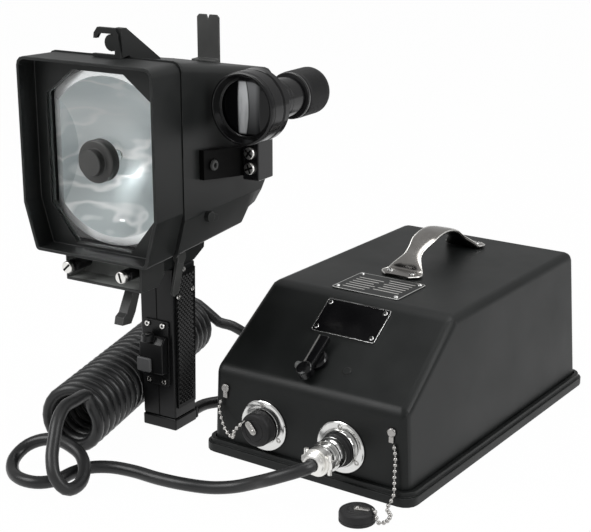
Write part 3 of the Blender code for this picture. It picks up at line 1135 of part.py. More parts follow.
battery = finish("battery", box((-BATTERY_W / 2, BATTERY_Y - BATTERY_D / 2, TRAY_FLOOR + GAP),
                                (BATTERY_W / 2, BATTERY_Y + BATTERY_D / 2,
                                TRAY_FLOOR + GAP + BATTERY_H)), BLACK_PLASTIC, parent=CASE)
for side in (-1, 1):
    at = (side * BATTERY_W / 4, BATTERY_Y - BATTERY_D / 4, TRAY_FLOOR + BATTERY_H - TERMINAL_H)
    post = turned([(0, 0), (TERMINAL_R, 0), (TERMINAL_R, TERMINAL_H * 2), (0, TERMINAL_H * 2)],
        facing((0, 0, 1), at), 16)
    join(battery, finish("terminal_post", post, None, parent=CASE))


# Case fittings

def corner_screws(target, matrix, width, height, base):
    """Fuses four screw heads to the corners of a plate."""
    for sx in (-1, 1):
        for sy in (-1, 1):
            at = matrix @ Matrix.Translation((sx * (width / 2 - PLATE_EDGE),
                sy * (height / 2 - PLATE_EDGE), base))
            join(target, finish("corner_screw", screw_shape(at, SCREW_R, SCREW_H + SLOPE_PANE_T), None,
                parent=CASE))


top_frame = tilted((1, 0, 0), (0, 1, 0), (PLATE_X, PLATE_Y, CASE_H + GAP))
name_plate = finish("name_plate", prism(rect_outline(PLATE_W, PLATE_D, SCREW_R, 2), top_frame, 0,
    PLATE_T), STEEL, parent=CASE)
corner_screws(name_plate, top_frame, PLATE_W, PLATE_D, PLATE_T / 2)

slope_frame = tilted((1, 0, 0), UP, on_slope(SLOPE_PLATE_X, SLOPE_PLATE_S, GAP))
window_frame = finish("window_frame",
    prism(rect_outline(SLOPE_PLATE_W, SLOPE_PLATE_H, SCREW_R, 2), slope_frame, 0, PLATE_T * 1.6),
    CHROME, parent=CASE)
pane_w, pane_h = SLOPE_PLATE_W - PLATE_EDGE / 2, SLOPE_PLATE_H - PLATE_EDGE / 2
pane_line = rect_outline(pane_w, pane_h, SCREW_R / 2, 2)
cut(window_frame, finish("pane_recess",
    prism(pane_line, slope_frame, PLATE_T * 1.6 - SLOPE_PANE_T, PLATE_T * 1.6 + OVER), None,
    parent=CASE))
corner_screws(window_frame, slope_frame, SLOPE_PLATE_W, SLOPE_PLATE_H, PLATE_T / 2)
pane_low = PLATE_T * 1.6 - SLOPE_PANE_T + GAP
pane = finish("window_pane", prism(rect_outline(pane_w - GAP * 2, pane_h - GAP * 2, SCREW_R / 2, 2),
    slope_frame, pane_low, pane_low + SLOPE_PANE_T), BLACK_PLASTIC, parent=CASE)
for sx in (-1, 1):
    for sy in (-1, 1):
        at = slope_frame @ Matrix.Translation((sx * (SLOPE_PLATE_W / 2 - PLATE_EDGE),
            sy * (SLOPE_PLATE_H / 2 - PLATE_EDGE), 0))
        hole = turned([(0, 0), (SCREW_R + GAP, 0), (SCREW_R + GAP, OVER * 2), (0, OVER * 2)], at, 14)
        cut(pane, finish("pane_hole", hole, None, parent=CASE))

boss_at = on_slope(KNOB_BOSS_X, KNOB_BOSS_S, GAP)
finish("switch_boss", turned([(0, 0), (KNOB_BOSS_R, 0), (KNOB_BOSS_R, KNOB_BOSS_H * 0.7),
    (KNOB_BOSS_R * 0.85, KNOB_BOSS_H), (0, KNOB_BOSS_H)],
    facing(OUT, boss_at), 24), BLACK_PLASTIC, parent=CASE)
bar_at = on_slope(KNOB_BOSS_X, KNOB_BOSS_S, GAP * 2 + KNOB_BOSS_H)
bar_frame = tilted((1, 0, 0), UP, bar_at)
bar_half = BAR_W / 2
bar_line = rounded([(-bar_half * 0.8, -BAR_DOWN), (bar_half * 0.8, -BAR_DOWN), (bar_half, BAR_UP),
    (-bar_half, BAR_UP)],
                   [bar_half * 0.7, bar_half * 0.7, bar_half * 0.35, bar_half * 0.35], 4)
bar = finish("switch_bar", prism(bar_line, bar_frame, 0, BAR_T), BLACK_PLASTIC, bar_at, CASE)
bevelled(bar, BAR_T / 6, 2)
tip_at = (0, BAR_TIP_R - BAR_DOWN)
join(bar, finish("bar_tip", prism(disc_outline(BAR_TIP_R, 24, tip_at), bar_frame, 0, BAR_T * 1.4), None,
    parent=CASE))

join(shell, finish("case_plug", screw_shape(facing(OUT, on_slope(PLUG_X, PLUG_S, -PLUG_H / 2)), PLUG_R,
    PLUG_H * 1.5), None, parent=CASE))

# Carrying handle: a strap with broad feet and a narrow neck, arched front to back
HANDLE_STATIONS = 22
HANDLE_BASE = CASE_H + GAP
foot_share = 0.14
stations = []
for k in range(HANDLE_STATIONS + 1):
    s = k / HANDLE_STATIONS
    edge = min(s, 1 - s)
    climb = max(0.0, min(1.0, (edge - foot_share * 0.8) / (0.5 - foot_share * 0.8)))
    rise = math.sin(climb * math.pi / 2) ** 0.8 if climb > 0 else 0
    thick = HANDLE_FOOT_T + (HANDLE_T - HANDLE_FOOT_T) * min(1.0, edge / foot_share)
    if edge < foot_share * 0.45:
        width = HANDLE_FOOT_W * (0.62 + 0.38 * math.sin(math.pi / 2 * edge / (foot_share * 0.45)))
    elif edge < foot_share * 1.6:
        blend = (edge - foot_share * 0.45) / (foot_share * 1.15)
        width = HANDLE_FOOT_W + (HANDLE_NECK_W - HANDLE_FOOT_W) * (0.5
            - 0.5 * math.cos(math.pi * blend))
    else:
        blend = min(1.0, (edge - foot_share * 1.6) / 0.15)
        width = HANDLE_NECK_W + (HANDLE_GRIP_W - HANDLE_NECK_W) * (0.5
            - 0.5 * math.cos(math.pi * blend))
    stations.append((s, rise, width, thick))
middle = [Vector((HANDLE_X, HANDLE_NEAR_Y + HANDLE_LEN * s,
    HANDLE_BASE + thick / 2 + (HANDLE_RISE - HANDLE_T / 2) * rise))
          for s, rise, width, thick in stations]
handle_rings = []
for k, (s, rise, width, thick) in enumerate(stations):
    ahead = middle[min(k + 1, HANDLE_STATIONS)] - middle[max(k - 1, 0)]
    normal = Vector((0, -ahead.z, ahead.y)).normalized()
    if rise <= 0:
        normal = Vector((0, 0, 1))
    ring = []
    for x_share, n_share in ((-1, -0.4), (-0.86, -1), (0.86, -1), (1, -0.4), (1, 0.3), (0.6, 0.9),
        (0, 1), (-0.6, 0.9), (-1, 0.3)):
        ring.append(middle[k] + Vector((x_share * width / 2, 0, 0)) + normal * (n_share * thick / 2))
    handle_rings.append(ring)
finish("carry_handle", lofted(handle_rings), CHROME, parent=CASE, angle=50)


# Sockets on the front wall
def on_wall(x, z, out=0):
    return Vector((x, WALL_Y - out, z))


def flange(name, x, steps):
    at = on_wall(x, SOCKET_Z, GAP)
    made = finish(name, turned([(0, 0), (FLANGE_R, 0), (FLANGE_R, FLANGE_T * 0.7),
        (FLANGE_R - FLANGE_T * 0.3, FLANGE_T)] + steps,
                               facing((0, -1, 0), at), 30), CHROME, parent=CASE)
    for k in range(3):
        a = math.radians(90 + 120 * k)
        spot = at + Vector((FLANGE_SCREW_AT * math.cos(a), -FLANGE_T / 2,
            FLANGE_SCREW_AT * math.sin(a)))
        join(made, finish("flange_screw",
            screw_shape(facing((0, -1, 0), spot), FLANGE_SCREW_R, FLANGE_T / 2 + SCREW_H), None,
            parent=CASE))
    return made


flange("socket_flange_left", SOCKET_LEFT_X,
    [(SPIGOT_R, FLANGE_T), (SPIGOT_R, FLANGE_T + SPIGOT_H), (0, FLANGE_T + SPIGOT_H)])
flange("socket_flange_right", SOCKET_RIGHT_X,
    [(SEAT_R, FLANGE_T), (SEAT_R - GAP, FLANGE_T + SEAT_H), (RECEPTACLE_R + GAP, FLANGE_T + SEAT_H),
                                               (RECEPTACLE_R + GAP, FLANGE_T), (0, FLANGE_T)])
CAP_SEAT = FLANGE_T + GAP * 2
cap_at = on_wall(SOCKET_LEFT_X, SOCKET_Z, CAP_SEAT + SCREW_H)
hollow_top = SPIGOT_H + GAP
cap_line = [(0, hollow_top), (SPIGOT_R + GAP, hollow_top), (SPIGOT_R + GAP, 0), (SOCKET_CAP_R, 0),
            (SOCKET_CAP_R, SOCKET_CAP_H * 0.8), (SOCKET_CAP_R * 0.88, SOCKET_CAP_H), (0, SOCKET_CAP_H)]
finish("socket_cap", turned(cap_line, facing((0, -1, 0), cap_at), 30), RUBBER, cap_at, CASE)

receptacle_at = on_wall(SOCKET_RIGHT_X, SOCKET_Z, FLANGE_T + GAP * 2)
finish("receptacle", turned([(0, 0), (RECEPTACLE_R, 0), (RECEPTACLE_R, RECEPTACLE_LEN),
    (0, RECEPTACLE_LEN)],
    facing((0, -1, 0), receptacle_at), 28), BLACK_PLASTIC, parent=CASE)
coupling_out = FLANGE_T + GAP * 3 + RECEPTACLE_LEN
coupling_at = on_wall(SOCKET_RIGHT_X, SOCKET_Z, coupling_out)
finish("coupling_ring", turned([(PLUG_BODY_R + GAP, 0), (COUPLING_R - GAP * 3, 0),
    (COUPLING_R, GAP * 3), (COUPLING_R, COUPLING_LEN - GAP * 3),
    (COUPLING_R - GAP * 3, COUPLING_LEN), (PLUG_BODY_R + GAP, COUPLING_LEN)],
    facing((0, -1, 0), coupling_at), 30), CHROME, coupling_at, CASE)
finish("plug_body", turned([(0, 0), (PLUG_BODY_R, 0), (PLUG_BODY_R, COUPLING_LEN + PLUG_BODY_LEN),
    (0, COUPLING_LEN + PLUG_BODY_LEN)],
    facing((0, -1, 0), coupling_at), 28), CHROME, parent=CASE)
clamp_out = coupling_out + COUPLING_LEN + PLUG_BODY_LEN + GAP
clamp_at = on_wall(SOCKET_RIGHT_X, SOCKET_Z, clamp_out)
clamp = finish("cord_clamp", turned([(0, 0), (CLAMP_R, 0), (CLAMP_R, CLAMP_LEN), (0, CLAMP_LEN)],
    facing((0, -1, 0), clamp_at), 28), CHROME, parent=CASE)
clamp_frame = tilted((1, 0, 0), (0, 0, 1), clamp_at)
ears = prism(rect_outline(CLAMP_EAR_W, CLAMP_EAR_H, CLAMP_EAR_SCREW_R, 2), clamp_frame,
    CLAMP_LEN * 0.15, CLAMP_LEN * 0.8)
join(clamp, finish("clamp_ears", ears, None, parent=CASE))
for side in (-1, 1):
    spot = clamp_at + Vector((side * (CLAMP_EAR_W / 2 - CLAMP_EAR_SCREW_R * 1.8), -CLAMP_LEN / 2,
        -CLAMP_R * 0.75))
    bolt = turned([(0, 0), (CLAMP_EAR_SCREW_R, 0), (CLAMP_EAR_SCREW_R, CLAMP_R * 1.5),
        (0, CLAMP_R * 1.5)], facing((0, 0, 1), spot), 12)
    join(clamp, finish("clamp_bolt", bolt, None, parent=CASE))
CORD_OUT = clamp_out + CLAMP_LEN + GAP

# Chain anchors and the cap that lies on the floor
loose_at = Vector((LOOSE_X, LOOSE_Y, 0))
loose_line = [(0, LOOSE_H - CAP_WALL * 1.5), (LOOSE_R - CAP_WALL, LOOSE_H - CAP_WALL * 1.5),
    (LOOSE_R - CAP_WALL, 0), (LOOSE_R, 0), (LOOSE_R, LOOSE_H * 0.72),
              (LOOSE_R * 0.86, LOOSE_H * 0.93), (LOOSE_R * 0.5, LOOSE_H), (0, LOOSE_H)]
loose_cap = finish("loose_cap", turned(loose_line, facing((0, 0, 1), loose_at), 24), RUBBER,
    parent=CASE)


def tag(name, frame):
    """Swivel tag: a rounded plate with a post at one end."""
    outline = rect_outline(SWIVEL_L, SWIVEL_W, SWIVEL_W * 0.45, 3, (SWIVEL_L / 2 - SWIVEL_W / 2, 0))
    made = finish(name, prism(outline, frame, SWIVEL_POST_R * 0.3, SWIVEL_POST_R * 0.3 + SWIVEL_T),
        STEEL, parent=CASE)
    return join(made, finish("tag_post",
        turned([(0, 0), (SWIVEL_POST_R, 0), (SWIVEL_POST_R, SWIVEL_T * 2.2), (0, SWIVEL_T * 2.2)],
        frame, 12), None, parent=CASE))


tag_left_frame = tilted((-0.55, 0, 0.6), (-0.6, 0, -0.55), cap_at + Vector((0, -SOCKET_CAP_H - GAP, 0)))
tag("cap_tag", tag_left_frame)
tag_loose_frame = tilted((0.9, 0.35, 0), (-0.35, 0.9, 0),
    loose_at + Vector((0, 0, LOOSE_H - SWIVEL_POST_R * 0.3 - GAP)))
join(loose_cap, tag("loose_tag", tag_loose_frame))


def eyelet(name, x):
    at = on_wall(x, EYELET_Z, GAP)
    made = finish(name, screw_shape(facing((0, -1, 0), at), EYELET_R, EYELET_T), STEEL, parent=CASE)
    low = at + Vector((-TAB_W / 2, -EYELET_T * 0.6, -EYELET_R * 0.6 - TAB_DROP))
    high = at + Vector((TAB_W / 2, -EYELET_T * 0.6 + TAB_T, -EYELET_R * 0.5))
    join(made, finish("eyelet_tab", box(low, high), None, parent=CASE))
    return at + Vector((0, -EYELET_T * 0.6 + TAB_T / 2, -EYELET_R * 0.6 - TAB_DROP))


left_tip = eyelet("eyelet_left", EYELET_X_LEFT)
right_tip = eyelet("eyelet_right", EYELET_X_RIGHT)


# Routes

def smooth_route(points, step, straight_ends=False):
    """Points at an even step along a smooth curve through the given points."""
    knots = [Vector(p) for p in points]
    if straight_ends:
        ends = knots
    else:
        ends = [knots[0] * 2 - knots[1]] + knots + [knots[-1] * 2 - knots[-2]]
    fine = []
    for i in range(1, len(ends) - 2):
        p0, p1, p2, p3 = ends[i - 1:i + 3]
        t1 = (p1 - p0).length ** 0.5
        t2 = t1 + (p2 - p1).length ** 0.5
        t3 = t2 + (p3 - p2).length ** 0.5
        for k in range(24):
            t = t1 + (t2 - t1) * k / 24
            a1 = p0 * ((t1 - t) / t1) + p1 * (t / t1)
            a2 = p1 * ((t2 - t) / (t2 - t1)) + p2 * ((t - t1) / (t2 - t1))
            a3 = p2 * ((t3 - t) / (t3 - t2)) + p3 * ((t - t2) / (t3 - t2))
            b1 = a1 * ((t2 - t) / t2) + a2 * (t / t2)
            b2 = a2 * ((t3 - t) / (t3 - t1)) + a3 * ((t - t1) / (t3 - t1))
            fine.append(b1 * ((t2 - t) / (t2 - t1)) + b2 * ((t - t1) / (t2 - t1)))
    fine.append(ends[-2])
    if straight_ends:
        return [knots[0]] + even(fine, step) + [knots[-1]]
    return even(fine, step)


def even(fine, step):
    run = [0.0]
    for a, b in zip(fine, fine[1:]):
        run.append(run[-1] + (b - a).length)
    count = max(2, round(run[-1] / step))
    out, k = [], 0
    for i in range(count + 1):
        want = run[-1] * i / count
        while k < len(run) - 2 and run[k + 1] < want:
            k += 1
        share = (want - run[k]) / (run[k + 1] - run[k])
        out.append(fine[k].lerp(fine[k + 1], min(1.0, max(0.0, share))))
    return out


def tube(name, points, radius, resolution, surface, sizes=None, parent=None):
    line = bpy.data.curves.new(name, "CURVE")
    line.dimensions = "3D"
    line.bevel_depth = radius
    line.bevel_resolution = resolution
    line.use_fill_caps = True
    line.resolution_u = 1
    line.render_resolution_u = 0
    path = line.splines.new("POLY")
    path.points.add(len(points) - 1)
    for k, point in enumerate(points):
        path.points[k].co = (*point, 1.0)
        if sizes:
            path.points[k].radius = sizes[k]
    made = bpy.data.objects.new(name, line)
    bpy.context.scene.collection.objects.link(made)
    made.parent = parent
    line.materials.append(surface)
    return made


def ball_chain(name, knots):
    """Beads and their links, swollen and narrowed along one line."""
    line = smooth_route(knots, BEAD_PITCH / 8)
    points, sizes = [], []
    total = (len(line) - 1) // 8
    for k in range(total):
        base = k * 8
        for offset, size in ((0, BEAD_NECK_share), (3, 1.0), (5, 1.0)):
            points.append(line[base + offset])
            sizes.append(size)
    points.append(line[-1])
    sizes.append(BEAD_NECK_share)
    return tube(name, points, BEAD_BALL_R, 1, STEEL, sizes, CASE)


TOP = Vector((0, 0, 1))
CHAIN_OUT = BEAD_BALL_R + GAP
chain_start = Vector((left_tip.x, WALL_Y - CHAIN_OUT - GAP, left_tip.z - GAP * 2))
chain_end = cap_at + Vector((0, -SOCKET_CAP_H - GAP, 0)) + Vector((-0.55, 0,
    0.6)).normalized() * (SWIVEL_L - SWIVEL_W / 2 + BEAD_BALL_R)
chain_end += Vector((0, -SWIVEL_POST_R * 0.3 - SWIVEL_T / 2, 0))
cap_face_y = cap_at.y - SOCKET_CAP_H - CHAIN_OUT - GAP * 4
edge_point = Vector((cap_at.x - SOCKET_CAP_R - BEAD_PITCH * 0.7, cap_face_y,
    chain_end.z - BEAD_PITCH * 2.2))
fall = chain_start.z - edge_point.z
sag = Vector((edge_point.x - BEAD_PITCH, (chain_start.y + edge_point.y * 3) / 4,
    edge_point.z - BEAD_PITCH))
ball_chain("chain_left", [chain_start, chain_start - TOP * fall * 0.4,
    chain_start + Vector((BEAD_PITCH * 0.8, -BEAD_PITCH * 0.7, -fall * 0.85)),
                          chain_start + Vector((BEAD_PITCH * 2, -BEAD_PITCH * 1.7,
                          -fall - BEAD_PITCH)), sag, edge_point, chain_end])
loose_tip = loose_at + Vector((0.9, 0.35, 0)).normalized() * (SWIVEL_L - SWIVEL_W / 2
    + GAP) + Vector((0, 0, LOOSE_H + GAP + SWIVEL_T))
start = Vector((right_tip.x, WALL_Y - CHAIN_OUT - GAP, right_tip.z - GAP * 2))
FLOOR_BEAD = BEAD_BALL_R + GAP
out_y = WALL_Y - TRAY_LIP - CHAIN_OUT
floor_way = [Vector((start.x + side * MM, out_y - out * MM, FLOOR_BEAD)) for side, out in CHAIN_WAY]
floor_way[3].z = FLOOR_BEAD * 2
floor_way[4].z = LOOSE_H
ball_chain("chain_right", [start, start - TOP * CHAIN_HANG,
                           Vector((start.x + CHAIN_STRAY, (start.y + out_y) / 2,
                           start.z - CHAIN_HANG * 2)),
                           Vector((start.x + CHAIN_STRAY, out_y, CHAIN_KNEE_Z))] + floor_way
                           + [loose_tip])


# Cable

ALONG = (COIL_REAR - COIL_FRONT).normalized()
ACROSS = Vector((ALONG.y, -ALONG.x, 0)).normalized()


def on_coil(angle, along, radius=COIL_MEAN_R):
    return COIL_FRONT + ALONG * along + (ACROSS * math.cos(angle) + TOP * math.sin(angle)) * radius


COIL_LEN = (COIL_REAR - COIL_FRONT).length
wound = []
COIL_START = math.radians(15)
COIL_END = math.radians(45)
total_points = COIL_TURNS * COIL_POINTS
sweep = 2 * math.pi * COIL_TURNS + COIL_START - COIL_END
coil_start_along = COIL_LEN - COIL_TURNS * COIL_PITCH
for k in range(total_points + 1):
    turn = k / COIL_POINTS
    wound.append(on_coil(COIL_START - sweep * k / total_points, coil_start_along + COIL_PITCH * turn))


def tangent(angle):
    return (ACROSS * math.sin(angle) - TOP * math.cos(angle)).normalized()


rear_angle = COIL_START - sweep
rear_dir = (tangent(rear_angle) + ALONG * 0.25).normalized()
front_dir = -(tangent(COIL_START) + ALONG * 0.25).normalized()
wound = [wound[0] + front_dir * CORD_D] + wound + [wound[-1] + rear_dir * CORD_D]
coil_first, coil_last = wound[0], wound[-1]
tube("curly_cable", wound, CORD_R, 1, RUBBER)


# Routes of the two free lengths in mm: across and along from a reference point, and the height of
# the cable's middle above where it rests on the floor
# The lead from the grip's gland runs back beside the case, turns and comes round to the coil's rear end
LEAD_FROM_GLAND = [(2.5, 21.1, 0.9), (11.5, 38.1, 0.2), (19.5, 66.1, 0), (23.5, 101.1, 0),
    (24.5, 136.1, 0)]
LEAD_FROM_COIL = [(139, 23, 0), (125, 47, 0), (102, 54, 1.9), (81, 44, 7.9), (64, 31, 17.4),
    (50, 20, 28.4)]
# The knot in front of the coil, then the free run to the plug
RUN_FROM_COIL = [(24, -14, 63.9), (25, -30, 63.4), (29, -45, 55.9), (35, -58, 42.4), (42, -70, 29.4),
                 (51, -77, 15.4), (59, -71, 2.9), (61, -56, 1.9), (54, -39, 8.4), (41, -28, 16.4),
                 (26, -24, 20.4), (8, -21, 21.4), (-10, -24, 19.4), (-23, -34, 13.4), (-25, -50, 5.4),
                 (-14, -64, 0.4), (4, -72, 0), (23, -69, 0), (34, -55, 0), (36, -36, 0), (43, -18, 0),
                 (59, -7, 0), (83.5, -2.6, 0)]
RUN_TO_PLUG = [(-148, -44.6, 0), (-119, -41.6, 0), (-92.5, -34.6, 0.2), (-70, -28.6, 4.4),
               (-48, -26.6, 13.4), (-28, -28.6, 23.4)]


def placed(points, at):
    """Route points across and along from a reference point, and up from the floor's rest height."""
    return [Vector((at.x + x * MM, at.y + y * MM, FLOOR_REST + z * MM)) for x, y, z in points]


gland_end = Vector((GLAND_X, GLAND_BACK + GAP, GLAND_FOOT + GLAND_W / 2))
lead_points = [gland_end, gland_end + Vector((0, CORD_D, 0))]
lead_points += placed(LEAD_FROM_GLAND, gland_end) + placed(LEAD_FROM_COIL, COIL_REAR)
lead_points += [coil_last + rear_dir * (GAP + CORD_D), coil_last + rear_dir * GAP]
lead = smooth_route(lead_points, LEAD_STEP, True)
tube("cable_lead", lead, CORD_R, 2, RUBBER)

case_turn = Matrix.Translation(CASE.location) @ Matrix.Rotation(CASE_YAW, 4, "Z")
plug_end = case_turn @ on_wall(SOCKET_RIGHT_X, SOCKET_Z, CORD_OUT)
plug_ahead = case_turn @ on_wall(SOCKET_RIGHT_X, SOCKET_Z, CORD_OUT + CORD_D)
run_points = [coil_first + front_dir * GAP, coil_first + front_dir * (GAP + CORD_D)]
run_points += placed(RUN_FROM_COIL, COIL_FRONT) + placed(RUN_TO_PLUG, plug_end) + [plug_ahead, plug_end]
run = smooth_route(run_points, CORD_STEP, True)
tube("cable_run", run, CORD_R, 2, RUBBER)


def measured(name, points):
    fine = even(points, CORD_D / 8)
    far = int(1.8 * 8)
    least = min((fine[i] - fine[j]).length for i in range(0, len(fine), 2) for j in range(i + far,
        len(fine)))
    print(name, "least gap to itself (mm)", round((least - CORD_D) / MM, 2))


measured("curly_cable", wound)
measured("cable_lead", lead)
measured("cable_run", run)
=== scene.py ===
# Looks of the hand signalling lamp, its curly cable and its battery case.
# Metres, +Z up, the lamp faces -Y. Tables are in millimetres and go through MM or IN_MM.

import math

import bmesh
import bpy
from mathutils import Matrix, Vector


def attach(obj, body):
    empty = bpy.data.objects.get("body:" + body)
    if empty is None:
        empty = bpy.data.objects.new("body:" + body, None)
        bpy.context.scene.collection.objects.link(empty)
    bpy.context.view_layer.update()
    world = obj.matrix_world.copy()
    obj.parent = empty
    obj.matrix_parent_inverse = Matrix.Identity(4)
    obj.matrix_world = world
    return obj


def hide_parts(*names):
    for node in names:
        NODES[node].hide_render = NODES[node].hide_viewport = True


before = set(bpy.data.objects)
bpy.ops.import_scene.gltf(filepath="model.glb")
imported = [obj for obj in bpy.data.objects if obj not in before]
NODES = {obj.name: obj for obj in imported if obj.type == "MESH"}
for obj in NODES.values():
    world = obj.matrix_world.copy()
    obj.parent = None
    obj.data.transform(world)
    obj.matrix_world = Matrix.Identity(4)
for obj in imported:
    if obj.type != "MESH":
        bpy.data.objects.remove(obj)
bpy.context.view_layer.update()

MM = 0.001
IN_MM = Matrix.Scale(MM, 4)
GAP = 0.3 * MM
ROOT = "lamp_and_case"

# Places shared with the model
CASE_AT = Vector((0.2011, 0.1485, 0.0))
CASE_YAW = math.radians(-3.33)
CASE_W = 227.0 * MM
CASE_D = 375.0 * MM
CASE_H = 155.8 * MM
CASE_SLOPE_RUN = 94.3 * MM
WALL_Y = -CASE_D / 2
SOCKET_Z = 40.6 * MM
SOCKET_LEFT_X = -CASE_W / 2 * 0.4308
SOCKET_RIGHT_X = CASE_W / 2 * 0.3568
CASE_TURN = Matrix.Translation(CASE_AT) @ Matrix.Rotation(CASE_YAW, 4, "Z")
PLATE_FRONT = 11.1 * MM
PLATE_DEPTH = 57.0 * MM
SCOPE_AT = Vector((0.115, -0.031, 0.349))
LENS_R = 28.0 * MM
BOWL_R = 77.5 * MM
CHANNEL_HALF = 44.5 * MM
CHANNEL_FRONT_Y = -0.099
CHANNEL_Z = 0.178
RIM_Y = -0.0829
PIVOT_Y = -0.0609
AXIS_Z = 0.300
FRONT, BACK, RIGHT = (0, -1, 0), (0, 1, 0), (1, 0, 0)
UP = Vector((0, 0, 1))


def shown(name, data):
    """New object in the scene."""
    made = bpy.data.objects.new(name, data)
    bpy.context.scene.collection.objects.link(made)
    return made


# Camera: solved from the photograph's straight edges
camera_data = bpy.data.cameras.new("camera")
camera_data.lens = 85.28
camera_data.sensor_width = 36.0
camera = shown("camera", camera_data)
camera.location = (0.8258, -1.0973, 0.5872)
camera.rotation_euler = (math.radians(73.08), 0.0, math.radians(31.44))
bpy.context.scene.camera = camera


# Mesh tools
def placed_mesh(name, shape, surface, body=ROOT, replaces=(), angle=35.0, matrix=None):
    """Makes a riding piece of a bmesh, with smooth shading and sharp edges by angle."""
    if matrix is not None:
        bmesh.ops.transform(shape, matrix=matrix, verts=shape.verts)
    bmesh.ops.recalc_face_normals(shape, faces=shape.faces)
    mesh = bpy.data.meshes.new(name)
    shape.to_mesh(mesh)
    shape.free()
    mesh.materials.append(surface)
    mesh.shade_smooth()
    mesh.set_sharp_from_angle(angle=math.radians(angle))
    made = shown(name, mesh)
    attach(made, body)
    if replaces:
        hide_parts(*replaces)
    return made


def facing(direction, at=(0, 0, 0)):
    """Frame whose Z points along a direction."""
    turn = Vector(direction).to_track_quat("Z", "Y").to_matrix().to_4x4()
    return Matrix.Translation(at) @ turn


def tilted(axis_x, axis_y, at):
    """Frame with a given X, and its Y as near as can be to the other direction."""
    x = Vector(axis_x).normalized()
    z = x.cross(Vector(axis_y)).normalized()
    y = z.cross(x)
    return Matrix.Translation(at) @ Matrix((x, y, z)).transposed().to_4x4()


def add_turned(shape, profile, matrix=Matrix.Identity(4), sides=64):
    """Adds a solid of revolution about the matrix's Z to a bmesh. The profile is (radius, height)."""
    rings = []
    for radius, height in profile:
        if radius <= 0:
            rings.append([shape.verts.new(matrix @ Vector((0, 0, height)))])
            continue
        turns = [2 * math.pi * k / sides for k in range(sides)]
        rings.append([shape.verts.new(matrix @ Vector((radius * math.cos(a), radius * math.sin(a), height)))
                      for a in turns])
    pairs = list(zip(rings, rings[1:]))
    if len(rings[0]) > 1 and len(rings[-1]) > 1:
        pairs.append((rings[-1], rings[0]))
    for lower, upper in pairs:
        for k in range(sides):
            n = (k + 1) % sides
            if len(lower) == 1:
                shape.faces.new((lower[0], upper[k], upper[n]))
            elif len(upper) == 1:
                shape.faces.new((lower[k], lower[n], upper[0]))
            else:
                shape.faces.new((lower[k], lower[n], upper[n], upper[k]))
    return shape


def turned(profile, matrix=Matrix.Identity(4), sides=64):
    return add_turned(bmesh.new(), profile, matrix, sides)


def add_loft(shape, sections):
    """Adds a skin through rings of as many points each, closed at both ends."""
    rings = [[shape.verts.new(p) for p in ring] for ring in sections]
    count = len(rings[0])
    for one, two in zip(rings, rings[1:]):
        for k in range(count):
            n = (k + 1) % count
            shape.faces.new((one[k], one[n], two[n], two[k]))
    shape.faces.new(rings[0])
    shape.faces.new(list(reversed(rings[-1])))
    return shape


def add_box(shape, matrix, low, high):
    (x0, y0, z0), (x1, y1, z1) = low, high
    corners = ((x0, y0), (x1, y0), (x1, y1), (x0, y1))
    return add_loft(shape, [[matrix @ Vector((x, y, z)) for x, y in corners] for z in (z0, z1)])


def rounded(corners, radius, steps):
    """Outline of a shape with its corners rounded."""
    outline = []
    total = len(corners)
    for i in range(total):
        here = Vector(corners[i])
        back = (Vector(corners[i - 1]) - here).normalized()
        ahead = (Vector(corners[(i + 1) % total]) - here).normalized()
        half = back.angle(ahead) / 2
        centre = here + (back + ahead).normalized() * (radius / math.sin(half))
        reach = radius / math.tan(half)
        first = here + back * reach - centre
        sweep = first.angle_signed(here + ahead * reach - centre)
        for k in range(steps + 1):
            spun = first.copy()
            spun.rotate(Matrix.Rotation(-sweep * k / steps, 2))
            outline.append(centre + spun)
    return outline


def rect_outline(width, depth, radius, steps, cx=0.0):
    hw, hd = width / 2, depth / 2
    return rounded([(cx - hw, -hd), (cx + hw, -hd), (cx + hw, hd), (cx - hw, hd)], radius, steps)


def soft_prism(shape, outline, matrix, low, high, soft=0.0, steps=3):
    """Adds an extruded outline whose upper edge is rounded by insetting the outline."""
    centre = Vector((sum(p[0] for p in outline), sum(p[1] for p in outline))) / len(outline)
    spread = max((Vector((p[0], p[1])) - centre).length for p in outline)
    sections = [(1.0, low)]
    if soft > 0:
        for k in range(steps + 1):
            a = math.pi / 2 * k / steps
            sections.append((1 - soft / spread * (1 - math.cos(a)) * 1.2, high - soft + soft * math.sin(a)))
    else:
        sections.append((1.0, high))
    rings = []
    for share, height in sections:
        rings.append([matrix @ Vector((centre.x + (p[0] - centre.x) * share,
                                       centre.y + (p[1] - centre.y) * share, height)) for p in outline])
    return add_loft(shape, rings)


def add_ball(shape, centre, radius, rings=10, sides=16):
    profile = [(0, -radius)]
    for k in range(1, rings):
        a = math.pi * k / rings
        profile.append((radius * math.sin(a), -radius * math.cos(a)))
    profile.append((0, radius))
    return add_turned(shape, profile, Matrix.Translation(centre), sides)


def add_tube(shape, points, radius, sides=8):
    """Adds a round tube along points, framed with a steady normal."""
    rings = []
    side = None
    for k, point in enumerate(points):
        ahead = (points[min(k + 1, len(points) - 1)] - points[max(k - 1, 0)]).normalized()
        if side is None:
            side = ahead.orthogonal().normalized()
        side = (side - ahead * side.dot(ahead)).normalized()
        other = ahead.cross(side)
        turns = [2 * math.pi * j / sides for j in range(sides)]
        rings.append([point + (side * math.cos(a) + other * math.sin(a)) * radius for a in turns])
    return add_loft(shape, rings)


